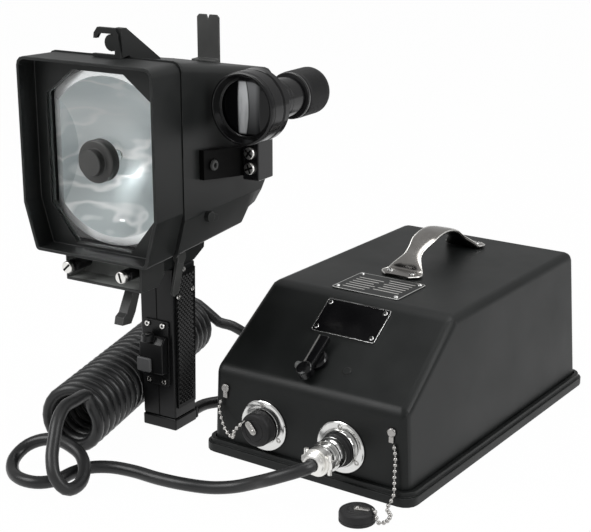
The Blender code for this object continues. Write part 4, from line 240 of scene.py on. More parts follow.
def soften(name, width):
    """Rounds the edges of a carried-over CAD node with modifiers."""
    node = NODES[name]
    weld = node.modifiers.new("weld", "WELD")
    weld.merge_threshold = 0.02 * MM
    bevel = node.modifiers.new("bevel", "BEVEL")
    bevel.width = width
    bevel.segments = 2
    bevel.limit_method = "ANGLE"
    bevel.angle_limit = math.radians(30)
    bevel.use_clamp_overlap = True
    normals = node.modifiers.new("normals", "WEIGHTED_NORMAL")
    normals.keep_sharp = False
    normals.weight = 60


# Materials
EDGE_WEAR = 1.2 * MM
WHITE = (1.0, 1.0, 1.0)
ON_VECTORS = "ShaderNodeVectorMath"


def graph(name):
    """New material: itself, its tree, its shader and its object coordinates."""
    made = bpy.data.materials.new(name)
    made.use_nodes = True
    tree = made.node_tree
    place = tree.nodes.new("ShaderNodeTexCoord")
    return made, tree, tree.nodes["Principled BSDF"], place.outputs["Object"]


def feed(tree, place, value):
    """Gives an input a plain value, or links the socket that gives it."""
    if isinstance(value, bpy.types.NodeSocket):
        tree.links.new(value, place)
    else:
        place.default_value = value


def wired(tree, made, **inputs):
    """Feeds a node's inputs by name, with _ for a space, and returns the node."""
    for name, value in inputs.items():
        feed(tree, made.inputs[name.replace("_", " ")], value)
    return made


def math_node(tree, operation, *values, kind="ShaderNodeMath"):
    """Math on sockets and plain numbers."""
    made = tree.nodes.new(kind)
    made.operation = operation
    for place, value in zip(made.inputs, values):
        feed(tree, place, value)
    return made.outputs["Value"]


def product(tree, one, two):
    return math_node(tree, "MULTIPLY", one, two)


def axes(tree, where):
    return wired(tree, tree.nodes.new("ShaderNodeSeparateXYZ"), Vector=where).outputs


def noise_at(tree, where, scale, detail=3.0, rough=0.55, stretch=None):
    if stretch is not None:
        mapping = wired(tree, tree.nodes.new("ShaderNodeMapping"), Vector=where, Scale=stretch)
        where = mapping.outputs["Vector"]
    made = tree.nodes.new("ShaderNodeTexNoise")
    return wired(tree, made, Vector=where, Scale=scale, Detail=detail, Roughness=rough).outputs["Fac"]


def ranged(tree, value, low, high, to_low=0.0, to_high=1.0):
    """Carries a value from one range to another, held at its ends."""
    made = tree.nodes.new("ShaderNodeMapRange")
    return wired(tree, made, Value=value, From_Min=low, From_Max=high, To_Min=to_low,
                 To_Max=to_high).outputs["Result"]


def blended(tree, share, one, two):
    """Mix of two colours, each a tuple or a socket."""
    made = tree.nodes.new("ShaderNodeMix")
    made.data_type = "RGBA"
    for socket, colour in (("A", one), ("B", two)):
        target = [s for s in made.inputs if s.name == socket and s.type == "RGBA"][0]
        if isinstance(colour, tuple):
            target.default_value = (*colour, 1.0)
        else:
            tree.links.new(colour, target)
    tree.links.new(share, made.inputs["Factor"])
    return [s for s in made.outputs if s.type == "RGBA"][0]


def bumped(tree, height, strength, distance):
    made = tree.nodes.new("ShaderNodeBump")
    return wired(tree, made, Height=height, Strength=strength, Distance=distance).outputs["Normal"]


def coating(name, dark, light, rough, spread, grain, depth, metallic=0.0, wear=None, level=0.5):
    """Painted, moulded or plated surface: mottled tone, uneven gloss, fine grain, and wear at edges."""
    made, tree, shader, where = graph(name)
    broad = noise_at(tree, where, 14.0, 4.0)
    fine = noise_at(tree, where, grain, 2.0)
    tone = blended(tree, ranged(tree, broad, 0.35, 0.65), dark, light)
    if wear:
        bevel = tree.nodes.new("ShaderNodeBevel")
        bevel.samples = 4
        wired(tree, bevel, Radius=EDGE_WEAR)
        shape = tree.nodes.new("ShaderNodeNewGeometry")
        normals = bevel.outputs["Normal"], shape.outputs["Normal"]
        edge = ranged(tree, math_node(tree, "DOT_PRODUCT", *normals, kind=ON_VECTORS), 0.99, 0.86)
        patch = ranged(tree, noise_at(tree, where, 60.0, 4.0, 0.7), 0.42, 0.62)
        tone = blended(tree, product(tree, edge, patch), tone, wear)
    gloss = ranged(tree, broad, 0.3, 0.7, rough - spread, rough + spread)
    wired(tree, shader, Base_Color=tone, Roughness=gloss, Normal=bumped(tree, fine, 0.35, depth),
          Metallic=metallic, Specular_IOR_Level=level)
    return made


def clear_glass(name, tint):
    made, tree, shader, where = graph(name)
    smear = noise_at(tree, where, 25.0, 3.0)
    wired(tree, shader, Base_Color=(*tint, 1.0), Roughness=ranged(tree, smear, 0.4, 0.8, 0.02, 0.05),
          Transmission_Weight=1.0, IOR=1.45)
    return made


PAINT = coating("black_enamel", (0.0102, 0.0112, 0.0110), (0.0172, 0.0184, 0.018),
                0.42, 0.06, 1100.0, 0.00003, wear=(0.055, 0.056, 0.055), level=0.25)
# satin_grey is lighter than the black enamel; on the window frame it is painted light on front faces lit by a
# front lamp.
FRAME_GREY = coating("satin_grey", (0.095, 0.099, 0.097), (0.140, 0.144, 0.142), 0.5, 0.06, 700.0, 0.00005,
                     wear=(0.12, 0.12, 0.12), level=0.3)
GLOSS_PAINT = coating("rubbed_enamel", (0.0045, 0.0045, 0.005), (0.008, 0.008, 0.0085), 0.22, 0.05, 1300.0,
                      0.00002, wear=(0.05, 0.05, 0.05), level=0.35)
CASE_PAINT = coating("case_enamel", (0.0072, 0.0082, 0.0080), (0.0122, 0.0135, 0.0132), 0.43, 0.06, 900.0,
                     0.00004, wear=(0.05, 0.05, 0.048), level=0.23)
GREY = coating("worn_grey", (0.038, 0.039, 0.038), (0.066, 0.067, 0.065), 0.42, 0.08, 700.0, 0.00005,
               wear=(0.20, 0.20, 0.20), level=0.4)
KNOB_GREY = coating("pale_moulding", (0.085, 0.086, 0.088), (0.13, 0.131, 0.133), 0.45, 0.06, 900.0, 0.00003,
                    level=0.4)
CAP_GREY = coating("grey_moulding", (0.038, 0.038, 0.037), (0.06, 0.06, 0.058), 0.42, 0.06, 900.0, 0.00003,
                   wear=(0.10, 0.10, 0.10), level=0.4)
HANDLE = coating("handle_face", (0.20, 0.19, 0.18), (0.42, 0.405, 0.385), 0.18, 0.06, 260.0, 0.00003, 1.0)
PLASTIC = coating("black_moulding", (0.0060, 0.0062, 0.0066), (0.011, 0.0113, 0.012), 0.36, 0.06, 1400.0,
                  0.00003, wear=(0.04, 0.04, 0.04), level=0.28)
KNURL = coating("knurled_black", (0.0030, 0.0031, 0.0033), (0.0060, 0.0061, 0.0064), 0.38, 0.06, 1400.0,
                0.00003, level=0.16)
GLOSS = coating("glossy_black", (0.0035, 0.0035, 0.004), (0.0065, 0.0065, 0.007), 0.15, 0.04, 1600.0, 0.00002,
                level=0.35)
# Near-black for the grip seam's dark joint, and painted shade in screw slots, screw sockets and on the
# telescope's bracket.
JOINT_AND_SHADE_BLACK = coating("joint_black_and_painted_shade", (0.002, 0.002, 0.002), (0.004, 0.004, 0.004), 0.6, 0.06, 700.0, 0.00002,
               level=0.08)
RUBBER = coating("dull_rubber", (0.012, 0.012, 0.0125), (0.021, 0.021, 0.0215), 0.5, 0.08, 700.0, 0.00006,
                 level=0.25)
CORD_RUBBER = coating("cable_rubber", (0.014, 0.0145, 0.015), (0.024, 0.0245, 0.025), 0.34, 0.07, 500.0,
                      0.00005, level=0.38)
CHROME = coating("polished_chrome", (0.62, 0.62, 0.61), (0.76, 0.76, 0.75), 0.12, 0.05, 300.0, 0.00002, 1.0)
WARM_CHROME = coating("handle_plating", (0.60, 0.58, 0.56), (0.76, 0.74, 0.71), 0.14, 0.06, 260.0, 0.00003,
                      1.0)
STEEL = coating("plain_steel", (0.36, 0.35, 0.34), (0.52, 0.51, 0.49), 0.28, 0.08, 500.0, 0.00004, 1.0)
DARK_STEEL = coating("dark_plating", (0.10, 0.10, 0.10), (0.17, 0.17, 0.17), 0.22, 0.06, 400.0, 0.00003, 1.0)
BRIGHT = coating("bright_plating", (0.82, 0.81, 0.78), (0.93, 0.92, 0.89), 0.32, 0.06, 400.0, 0.00003, 1.0)
BRASS = coating("brass", (0.50, 0.36, 0.15), (0.60, 0.44, 0.20), 0.3, 0.08, 500.0, 0.00004, 1.0)
GLASS = clear_glass("clear_glass", (0.97, 0.985, 0.985))
LENS = clear_glass("lens_glass", (0.80, 0.84, 0.88))


def lens_with_painted_reflection():
    """Dark coated lens, with pale upright bands of painted reflection across it."""
    made, tree, shader, where = graph("lens_painted_reflection")
    parts = axes(tree, where)
    across = math_node(tree, "MULTIPLY_ADD", parts["X"], 1 / LENS_R, -SCOPE_AT.x / LENS_R)
    up = math_node(tree, "MULTIPLY_ADD", parts["Z"], 1 / LENS_R, -SCOPE_AT.z / LENS_R)
    bent = math_node(tree, "ADD", across, product(tree, product(tree, up, up), 0.16))
    inside = product(tree, ranged(tree, up, -0.90, -0.84), ranged(tree, up, 0.90, 0.84))
    smear = noise_at(tree, where, 60.0, 3.0, 0.6, (2.0, 1.0, 0.5))
    # The two band masks below are pale upright bands of painted reflection on the lens.
    first = product(tree, ranged(tree, across, -0.34, -0.27), ranged(tree, bent, 0.12, 0.08))
    first = product(tree, product(tree, first, inside), ranged(tree, smear, 0.35, 0.6, 0.7, 1.0))
    second_painted_band = product(tree, ranged(tree, bent, 0.12, 0.15), ranged(tree, across, 0.55, 0.36))
    second_painted_band = product(tree, product(tree, second_painted_band, inside), ranged(tree, up, -0.8, 0.8, 0.15, 0.8))
    tone = blended(tree, second_painted_band, (0.0025, 0.0025, 0.003), (0.26, 0.265, 0.27))
    tone = blended(tree, first, tone, (0.60, 0.61, 0.62))
    wired(tree, shader, Base_Color=tone, Roughness=ranged(tree, smear, 0.3, 0.7, 0.03, 0.07),
          Specular_IOR_Level=0.25)
    return made


def silvered():
    """Silvered bowl with painted light: painted shade low down, painted light higher up, soft wisps and white
    streaks of painted reflection, and a painted white highlight on the flat lip.
    """
    made, tree, shader, where = graph("silvered_bowl_painted_light")
    parts = axes(tree, where)
    flat = wired(tree, tree.nodes.new("ShaderNodeCombineXYZ"), X=parts["X"],
                 Y=math_node(tree, "SUBTRACT", parts["Z"], AXIS_Z))
    from_axis = math_node(tree, "LENGTH", flat.outputs["Vector"], kind=ON_VECTORS)
    wisp = noise_at(tree, where, 11.0, 2.0, 0.45, (1.0, 0.6, 2.2))
    fine = noise_at(tree, where, 17.0, 2.0, 0.5, (0.9, 0.6, 1.7))
    near = math_node(tree, "ABSOLUTE", math_node(tree, "SUBTRACT", fine, 0.53))
    patch = ranged(tree, wisp, 0.44, 0.60)
    # Painted shade low down and painted light higher up, both mottled by wisps of painted reflection.
    shaded_low_tone = blended(tree, patch, (0.46, 0.51, 0.52), (0.58, 0.63, 0.635))
    lit_high_tone = blended(tree, patch, (0.80, 0.85, 0.86), (0.93, 0.96, 0.965))
    tone = blended(tree, ranged(tree, parts["Z"], 0.255, 0.345), shaded_low_tone, lit_high_tone)
    # White streaks and pale patches: painted reflection.
    tone = blended(tree, ranged(tree, near, 0.008, 0.046, 0.95, 0.0), tone, WHITE)
    tone = blended(tree, ranged(tree, fine, 0.66, 0.69, 0.0, 0.9), tone, (0.88, 0.90, 0.90))
    # The flat lip is painted white: a painted highlight.
    lip = ranged(tree, from_axis, BOWL_R - 0.3 * MM, BOWL_R + 0.2 * MM)
    rough = math_node(tree, "SUBTRACT", ranged(tree, wisp, 0.3, 0.7, 0.42, 0.52), product(tree, lip, 0.2))
    wired(tree, shader, Base_Color=blended(tree, lip, tone, WHITE), Roughness=rough,
          Normal=bumped(tree, wisp, 0.08, MM), Metallic=0.72)
    return made


def channel_with_painted_light():
    """Dark enamel, lighter than the other black enamel as painted light on the bracket's front faces, with
    strong painted light on the walls inside the channel.
    """
    made, tree, shader, where = graph("channel_enamel_painted_light")
    parts = axes(tree, where)
    half, edge = CHANNEL_HALF, MM / 2
    # Mask of the walls inside the channel, which get painted light.
    channel_light_mask = ranged(tree, math_node(tree, "ABSOLUTE", parts["X"]), half - edge, half + edge, 1.0, 0.0)
    for axis, limit in (("Y", CHANNEL_FRONT_Y), ("Z", CHANNEL_Z)):
        channel_light_mask = product(tree, channel_light_mask, ranged(tree, parts[axis], limit - edge, limit + edge))
    speck = noise_at(tree, where, 700.0, 3.0, 0.6)
    tone = blended(tree, speck, (0.024, 0.025, 0.025), (0.036, 0.037, 0.036))
    wired(tree, shader, Base_Color=blended(tree, channel_light_mask, tone, (0.36, 0.37, 0.36)),
          Roughness=ranged(tree, speck, 0.3, 0.7, 0.42, 0.52), Normal=bumped(tree, speck, 0.2, 0.00004),
          Specular_IOR_Level=0.3)
    return made


MIRROR = silvered()

for surface, names in (
        (PAINT, "front_hood rear_housing front_sight objective_ring telescope_body side_catch neck_block"),
        # lower_bracket's enamel carries painted light.
        (GLOSS_PAINT, "scope_cradle"), (CASE_PAINT, "case_shell case_base"), (channel_with_painted_light(), "lower_bracket"),
        # glass_frame's lighter satin_grey is painted light.
        (FRAME_GREY, "glass_frame"), (GREY, "rear_sight trigger side_lever"), (KNOB_GREY, "switch_knob"),
        (PLASTIC, "grip_body grip_butt grip_panel_left grip_panel_right switch_plate switch_body battery"),
        # scope_bracket's near-black is painted shade.
        (GLOSS, "window_pane switch_boss switch_bar receptacle"), (JOINT_AND_SHADE_BLACK, "centre_cap scope_bracket"),
        (RUBBER, "eyecup cable_gland socket_cap loose_cap"),
        (CORD_RUBBER, "curly_cable cable_lead cable_run"),
        (CHROME, "clamp_screw_lower clamp_screw_upper captive_screw_left captive_screw_right name_plate"),
        (CHROME, "window_frame socket_flange_left socket_flange_right coupling_ring plug_body"),
        (WARM_CHROME, "carry_handle"), (BRIGHT, "cord_clamp"), (BRASS, "bulb_holder"), (MIRROR, "reflector"),
        (STEEL, "cap_tag eyelet_left eyelet_right chain_left chain_right"), (GLASS, "front_glass lamp_bulb"),
        (LENS, "objective_lens eye_lens")):
    for name in names.split():
        mesh = NODES[name].data
        mesh.materials.clear()
        mesh.materials.append(surface)

for width, names in (
        (0.2, "name_plate cap_tag"), (0.3, "rear_sight window_frame"),
        (0.4, "switch_plate captive_screw_left captive_screw_right eyelet_left eyelet_right"),
        (0.5, "front_sight scope_bracket switch_knob centre_cap plug_body"),
        (0.6, "scope_cradle side_catch grip_butt switch_body cord_clamp cable_gland"),
        (0.7, "lower_bracket switch_bar switch_boss"), (0.8, "side_lever grip_body"),
        (1.0, "front_hood neck_block case_shell"), (1.2, "rear_housing trigger case_base")):
    for name in names.split():
        soften(name, width * MM)


# Cable: the lead from the grip, the coil and the run to the plug as one cord, 5.16 m along cord_points
CORD_D = 12.5 * MM
CORD_R = CORD_D / 2
FLOOR_REST = CORD_R + 0.35 * MM
COIL_MEAN_R = 28.8 * MM
COIL_TURNS = 23
COIL_PITCH = CORD_D + 0.9 * MM
COIL_Z = COIL_MEAN_R + FLOOR_REST
COIL_FRONT = Vector((-33.0 * MM, -126.0 * MM, COIL_Z))
COIL_REAR = Vector((-108.7 * MM, 184.0 * MM, COIL_Z))
COIL_START = math.radians(15)
COIL_END = math.radians(45)
TURN_POINTS = 24
ROUTE_STEPS = 24
ALONG = (COIL_REAR - COIL_FRONT).normalized()
ACROSS = Vector((ALONG.y, -ALONG.x, 0)).normalized()
LEAD_FROM_GLAND = [(2.5, 21.1, 0.9), (11.5, 38.1, 0.2), (19.5, 66.1, 0), (23.5, 101.1, 0), (24.5, 136.1, 0)]
LEAD_FROM_COIL = [(139, 23, 0), (125, 47, 0), (102, 54, 1.9), (81, 44, 7.9), (64, 31, 17.4), (50, 20, 28.4)]
RUN_FROM_COIL = [(24, -14, 63.9), (25, -30, 63.4), (29, -45, 55.9), (35, -58, 42.4), (42, -70, 29.4),
                 (51, -77, 15.4), (59, -71, 2.9), (61, -56, 1.9), (54, -39, 8.4), (41, -28, 16.4),
                 (26, -24, 20.4), (8, -21, 21.4), (-10, -24, 19.4), (-23, -34, 13.4), (-25, -50, 5.4),
                 (-14, -64, 0.4), (4, -72, 0), (23, -69, 0), (34, -55, 0), (36, -36, 0), (43, -18, 0),
                 (59, -7, 0), (83.5, -2.6, 0)]
RUN_TO_PLUG = [(-148, -44.6, 0), (-119, -41.6, 0), (-92.5, -34.6, 0.2), (-70, -28.6, 4.4),
               (-48, -26.6, 13.4), (-28, -28.6, 23.4)]
PLUG_OUT = 43.6 * MM
GLAND_END = Vector((13.5 * MM, 24.2 * MM, 7.35 * MM))


def route_points(table, at):
    """Places of a table, from a point on the floor."""
    return [Vector((at.x + x * MM, at.y + y * MM, FLOOR_REST + z * MM)) for x, y, z in table]


def smooth_route(points, step, open_ends=False):
    """Evenly spaced points on a smooth curve through the given ones. Without open ends the two outermost
    given points only set the direction."""
    knots = [Vector(p) for p in points]
    ends = [knots[0] * 2 - knots[1]] + knots + [knots[-1] * 2 - knots[-2]] if open_ends else knots
    fine = []
    for i in range(1, len(ends) - 2):
        p0, p1, p2, p3 = ends[i - 1:i + 3]
        t1 = (p1 - p0).length ** 0.5
        t2 = t1 + (p2 - p1).length ** 0.5
        t3 = t2 + (p3 - p2).length ** 0.5
        for k in range(ROUTE_STEPS):
            t = t1 + (t2 - t1) * k / ROUTE_STEPS
            a1 = p0 * ((t1 - t) / t1) + p1 * (t / t1)
            a2 = p1 * ((t2 - t) / (t2 - t1)) + p2 * ((t - t1) / (t2 - t1))
            a3 = p2 * ((t3 - t) / (t3 - t2)) + p3 * ((t - t2) / (t3 - t2))
            b1 = a1 * ((t2 - t) / t2) + a2 * (t / t2)
            b2 = a2 * ((t3 - t) / (t3 - t1)) + a3 * ((t - t1) / (t3 - t1))
            fine.append(b1 * ((t2 - t) / (t2 - t1)) + b2 * ((t - t1) / (t2 - t1)))
    fine.append(ends[-2])
    if open_ends:
        return even(fine, step)
    return [ends[0]] + even(fine, step) + [ends[-1]]


def even(fine, step):
    """Points at equal distances along a line of finer points."""
    run = [0.0]
    for a, b in zip(fine, fine[1:]):
        run.append(run[-1] + (b - a).length)
    count = max(2, round(run[-1] / step))
    out, k = [], 0
    for i in range(count + 1):
        want = run[-1] * i / count
        while k < len(run) - 2 and run[k + 1] < want:
            k += 1
        share = (want - run[k]) / (run[k + 1] - run[k])
        out.append(fine[k].lerp(fine[k + 1], min(1.0, max(0.0, share))))
    return out


COIL_LEN = (COIL_REAR - COIL_FRONT).length
SWEEP = 2 * math.pi * COIL_TURNS + COIL_START - COIL_END
coil = []
for k in range(COIL_TURNS * TURN_POINTS + 1):
    share = k / (COIL_TURNS * TURN_POINTS)
    angle = COIL_START - SWEEP * share
    forward = COIL_LEN - COIL_TURNS * COIL_PITCH * (1 - share)
    outwards = ACROSS * math.cos(angle) + UP * math.sin(angle)
    coil.append(COIL_FRONT + ALONG * forward + outwards * COIL_MEAN_R)


def tangent(angle):
    """Direction round the coil."""
    return (ACROSS * math.sin(angle) - UP * math.cos(angle)).normalized()


REAR_DIR = (tangent(COIL_START - SWEEP) + ALONG * 0.25).normalized()
FRONT_DIR = -(tangent(COIL_START) + ALONG * 0.25).normalized()
coil_first = coil[0] + FRONT_DIR * CORD_D
coil_last = coil[-1] + REAR_DIR * CORD_D


def on_wall(x, z, out):
    """Place in front of the case's front wall, in the case's own frame."""
    return Vector((x, WALL_Y - out, z))


plug_end = CASE_TURN @ on_wall(SOCKET_RIGHT_X, SOCKET_Z, PLUG_OUT)
plug_ahead = CASE_TURN @ on_wall(SOCKET_RIGHT_X, SOCKET_Z, PLUG_OUT + CORD_D)
lead = [GLAND_END, GLAND_END + Vector((0, CORD_D, 0))]
lead += route_points(LEAD_FROM_GLAND, GLAND_END) + route_points(LEAD_FROM_COIL, COIL_REAR)
lead += [coil_last + REAR_DIR * (GAP + CORD_D), coil_last]
run = [coil_first, coil_first + FRONT_DIR * (GAP + CORD_D)]
run += route_points(RUN_FROM_COIL, COIL_FRONT) + route_points(RUN_TO_PLUG, plug_end) + [plug_ahead, plug_end]
lead_line = smooth_route(lead, 6 * MM)
run_line = smooth_route(run, 5 * MM)
cord_line = lead_line + list(reversed(coil)) + run_line
cord_points = [cord_line[0]]
for point in cord_line[1:]:
    if (point - cord_points[-1]).length > 1.5 * MM:
        cord_points.append(point)

curve = bpy.data.curves.new("cable", "CURVE")
curve.dimensions = "3D"
curve.bevel_depth = CORD_R
curve.bevel_resolution = 5
curve.use_fill_caps = True
curve.resolution_u = 1
curve.render_resolution_u = 0
spline = curve.splines.new("POLY")
spline.points.add(len(cord_points) - 1)
for k, point in enumerate(cord_points):
    spline.points[k].co = (*point, 1.0)
spline.use_smooth = True
curve.materials.append(CORD_RUBBER)
cable = shown("cable", curve)
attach(cable, ROOT)
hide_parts("cable_lead", "curly_cable", "cable_run")


# Reflector: smooth bowl with a flat lip, sides cut straight, stubs and arm
FOCUS = 27.0 * MM
LIP_R = 85.5 * MM
LIP_HALF = 64.5 * MM
BOWL_HALF = 58.0 * MM
BOWL_WALL = 1.2 * MM
BOWL_DEPTH = BOWL_R ** 2 / (4 * FOCUS)


def bowl_depth(radius):
    """How far the bowl's parabola lies behind its mouth."""
    return max(0.0, BOWL_DEPTH - radius ** 2 / (4 * FOCUS))


def bowl_rings(shape, extra, sides=200, steps=30):
    """One skin of the bowl: its lowest point, and rings out to its mouth, then the lip."""
    mouth, half = BOWL_R + extra, BOWL_HALF + extra
    rings = []
    for k in range(1, steps + 3):
        ring = []
        for j in range(sides):
            a = 2 * math.pi * (j + 0.5) / sides
            across = max(abs(math.cos(a)), 1e-6)
            reach = min(mouth * min(k / steps, 1.0), half / across)
            depth = extra if k > steps else bowl_depth(reach - extra) + extra
            if k > steps + 1:
                reach = min(LIP_R, LIP_HALF / across)
            ring.append(shape.verts.new((reach * math.cos(a), RIM_Y + depth, AXIS_Z + reach * math.sin(a))))
        rings.append(ring)
    return shape.verts.new((0, RIM_Y + BOWL_DEPTH + extra, AXIS_Z)), rings


bowl = bmesh.new()
sheets = [bowl_rings(bowl, 0), bowl_rings(bowl, BOWL_WALL)]
for tip, rings in sheets:
    for k in range(len(rings[0])):
        n = (k + 1) % len(rings[0])
        bowl.faces.new((tip, rings[0][k], rings[0][n]))
        for one, two in zip(rings, rings[1:]):
            bowl.faces.new((one[k], one[n], two[n], two[k]))
front, back = sheets[0][1][-1], sheets[1][1][-1]
for k in range(len(front)):
    n = (k + 1) % len(front)
    bowl.faces.new((front[k], front[n], back[n], back[k]))
bmesh.ops.remove_doubles(bowl, verts=bowl.verts, dist=0.00001)
for side in (-1, 1):
    add_turned(bowl, [(0, 0), (2.5 * MM, 0), (2.5 * MM, 12.0 * MM), (0, 12.0 * MM)],
               facing((side, 0, 0), (side * 61.4 * MM, PIVOT_Y, AXIS_Z)), 24)
ARM_Y = -57.0
arm_outline = [(-66.5, 236.0), (-70.5, 228.0), (ARM_Y - 4, 217.1), (ARM_Y, 205.6), (ARM_Y, 193.0),
               (ARM_Y + 4, 193.0), (ARM_Y + 4, 205.6), (ARM_Y + 2, 221.1), (-60.5, 232.0)]
add_loft(bowl, [[Vector((x * MM, y * MM, z * MM)) for y, z in arm_outline] for x in (-3.0, 3.0)])
placed_mesh("reflector_bowl", bowl, MIRROR, "reflector", ["reflector"], 30)

# Cap in the middle of the glass
CAP_FACE = (0, -0.0911, AXIS_Z)
cap = turned([(0, 2.5), (9, 2.5), (9, 0), (5, 0), (5, -2.6), (19.7, -2.6), (20.5, -3.4), (20.5, -5.4),
              (19.9, -6.0), (19.9, -7.4), (20.5, -8.0), (20.5, -12.9), (19.6, -13.9), (18.8, -14.2),
              (13.6, -14.5), (12.8, -15.3), (12.8, -22.2), (12.1, -22.9), (0, -23.0)], sides=96)
placed_mesh("cap_body", cap, CAP_GREY, replaces=["centre_cap"], angle=40,
            matrix=facing(BACK, CAP_FACE) @ IN_MM)

# Telescope
SCOPE = facing(BACK, SCOPE_AT) @ IN_MM


def scope_piece(name, profile, surface, replaces, body=ROOT, angle=30):
    """Round piece about the telescope's axis. Heights are from its front rim, backwards."""
    return placed_mesh(name, turned(profile, sides=96), surface, body, replaces, angle, SCOPE)


scope_piece("scope_bell", [(32.3, 0), (33.2, 0.1), (34.2, 0.8), (34.5, 1.8), (34.5, 4.2), (34.1, 4.6),
                           (34.1, 5.2), (34.5, 5.6), (34.5, 17.8), (33.9, 18.6), (33.9, 20.0), (28.3, 20.0),
                           (28.3, 7.7), (26.4, 7.7), (26.4, 7.0), (27.2, 6.4), (27.9, 6.9), (28.6, 6.6),
                           (31.4, 1.4), (31.8, 0.3)], GLOSS_PAINT, ["objective_ring"])
scope_piece("scope_tube", [(25.0, 11.4), (27.9, 11.4), (27.9, 20.4), (33.4, 20.4), (33.4, 21.6), (34.0, 22.2),
                           (34.8, 22.6), (34.8, 29.2), (34.3, 30.0), (33.3, 30.5), (32.2, 31.2), (31.3, 32.4),
                           (30.0, 33.9), (28.4, 35.2), (26.0, 36.6), (23.0, 38.1), (20.6, 39.7), (19.5, 41.2),
                           (19.5, 55.0), (19.3, 55.3), (19.3, 56.3), (19.5, 56.6), (19.5, 60.2), (19.3, 60.5),
                           (19.3, 61.5), (19.5, 61.8), (19.5, 82.9), (16.0, 82.9), (16.0, 37.3),
                           (25.0, 27.3)], GLOSS, ["telescope_body"])
LENS_STEPS = 12
dome = [(28.0 * k / LENS_STEPS, 8.0 + 1.5 * (k / LENS_STEPS) ** 2) for k in range(LENS_STEPS + 1)]
scope_piece("scope_lens", dome + [(28.0, 11.0), (0, 11.0)], lens_with_painted_reflection(), ["objective_lens"])
cup = [(22.2, 83.6), (22.5, 84.0), (22.5, 87.6), (21.7, 87.8), (21.7, 88.4), (22.6, 88.6), (23.2, 89.2)]
for k in range(24):
    base = 90.0 + k * 1.25
    cup += [(23.5, base), (23.5, base + 0.6), (23.15, base + 0.8), (23.15, base + 1.05)]
cup += [(23.5, 120.4), (23.3, 122.4), (22.6, 124.2), (21.5, 125.4), (20.0, 126.2), (18.0, 126.6),
        (17.2, 126.3), (17.0, 125.4), (15.0, 112.6), (8.0, 112.6), (8.0, 83.6)]
scope_piece("scope_eyecup", cup, RUBBER, ["eyecup"], "eyepiece", 50)
scope_piece("eyecup_band", [(21.8, 84.3), (23.1, 84.6), (23.2, 85.6), (23.1, 86.8), (21.8, 87.1)],
            DARK_STEEL, (), "eyepiece", 40)


# Screws
def screw(name, matrix, radius, height, surface, body=ROOT, replaces=(), cross=False, turn=0.0):
    """Domed head with its slot, or a cross of two, as two riding pieces; the slot is a near-black box of
    painted shade.
    """
    profile = [(0, 0), (radius, 0), (radius, height * 0.45)]
    for k in range(1, 7):
        a = math.pi / 2 * k / 6
        reach = 1 - 0.16 * (1 - math.cos(a)) if k < 6 else 0.80
        profile.append((radius * reach, height * (0.45 + 0.55 * math.sin(a))))
    profile += [(radius * 0.4, height * 1.04), (0, height * 1.05)]
    placed_mesh(name, turned(profile, matrix, 40), surface, body, replaces, 40)
    spun = matrix @ Matrix.Rotation(turn, 4, "Z")
    half, wide, low, top = radius * 0.78, radius * 0.16, height * 0.7, height * 1.10
    groove = add_box(bmesh.new(), spun, (-half, -wide, low), (half, wide, top))
    if cross:
        add_box(groove, spun, (-wide, -half, low), (wide, half, top * 1.001))
    placed_mesh(name + "_slot", groove, JOINT_AND_SHADE_BLACK, body)


def ring_screw(name, matrix, radius, height, surface):
    """Round head with a deep round socket in it, whose near-black bottom disc is painted shade."""
    hole, cup = radius * 0.44, radius * 0.46
    ring = turned([(hole, 0), (radius, 0), (radius, height * 0.6), (radius * 0.86, height),
                   (radius * 0.52, height), (hole, height * 0.8)], matrix, 32)
    placed_mesh(name, ring, surface, angle=40)
    disc = turned([(0, 0), (cup, 0), (cup, height * 0.3), (0, height * 0.3)], matrix, 24)
    placed_mesh(name + "_socket", disc, JOINT_AND_SHADE_BLACK)


CLAMP_SCREWS = (("clamp_screw_lower", 0.2800, 0.4), ("clamp_screw_upper", 0.2953, 0.9))
for name, z, turn in CLAMP_SCREWS:
    screw(name + "_head", facing(FRONT, (0.0904, 0.0207, z)), 6.0 * MM, 3.0 * MM, BRIGHT, replaces=[name],
          cross=True, turn=turn)
CAPTIVE_X, CAPTIVE_Y, CAPTIVE_Z = 32.5 * MM, -0.1003, 0.1945
SHANK_OUT = 11.0 * MM
SHANK = [(0, -33), (3.0, -33), (3.0, -17), (5.8, -17), (6.2, -16.6), (6.2, 4.6), (5.8, 5.0), (5.8, 6.0),
         (6.2, 6.4), (6.2, 10.4), (5.8, 10.9), (0, 11.0)]
for side, name, turn in ((-1, "left", 0.75), (1, "right", 1.85)):
    at = Vector((side * CAPTIVE_X, CAPTIVE_Y, CAPTIVE_Z))
    body = "captive_" + name
    placed_mesh("captive_shank_" + name, turned(SHANK, sides=48), GLOSS, body, ["captive_screw_" + name],
                40, facing(FRONT, at) @ IN_MM)
    head_at = at + Vector((0, -SHANK_OUT, 0))
    screw("captive_head_" + name, facing(FRONT, head_at), 6.0 * MM, 3.8 * MM, BRIGHT, body, turn=turn)
SWITCH_PLATE_Y = -21.4 * MM
GRIP_SIDE_X = 23.2 * MM
BRACKET_BOLT = (0.0824, -0.0305, 0.2925)
for k, (x, z) in enumerate(((-9.5, 114.5), (9.5, 114.5), (-9.5, 53.5), (9.5, 53.5))):
    ring_screw("plate_screw_%d" % k, facing(FRONT, (x * MM, SWITCH_PLATE_Y, z * MM)), 3.0 * MM, 1.3 * MM,
               BRIGHT if k < 2 else STEEL)
for k, (y, z) in enumerate(((-2.0, 172.5), (-12.0, 145.5), (12.5, 148.0))):
    ring_screw("grip_screw_%d" % k, facing(RIGHT, (GRIP_SIDE_X, y * MM, z * MM)), 2.6 * MM, 1.5 * MM, BRIGHT)
ring_screw("bracket_bolt", facing(RIGHT, BRACKET_BOLT), 5.2 * MM, 2.6 * MM, GREY)

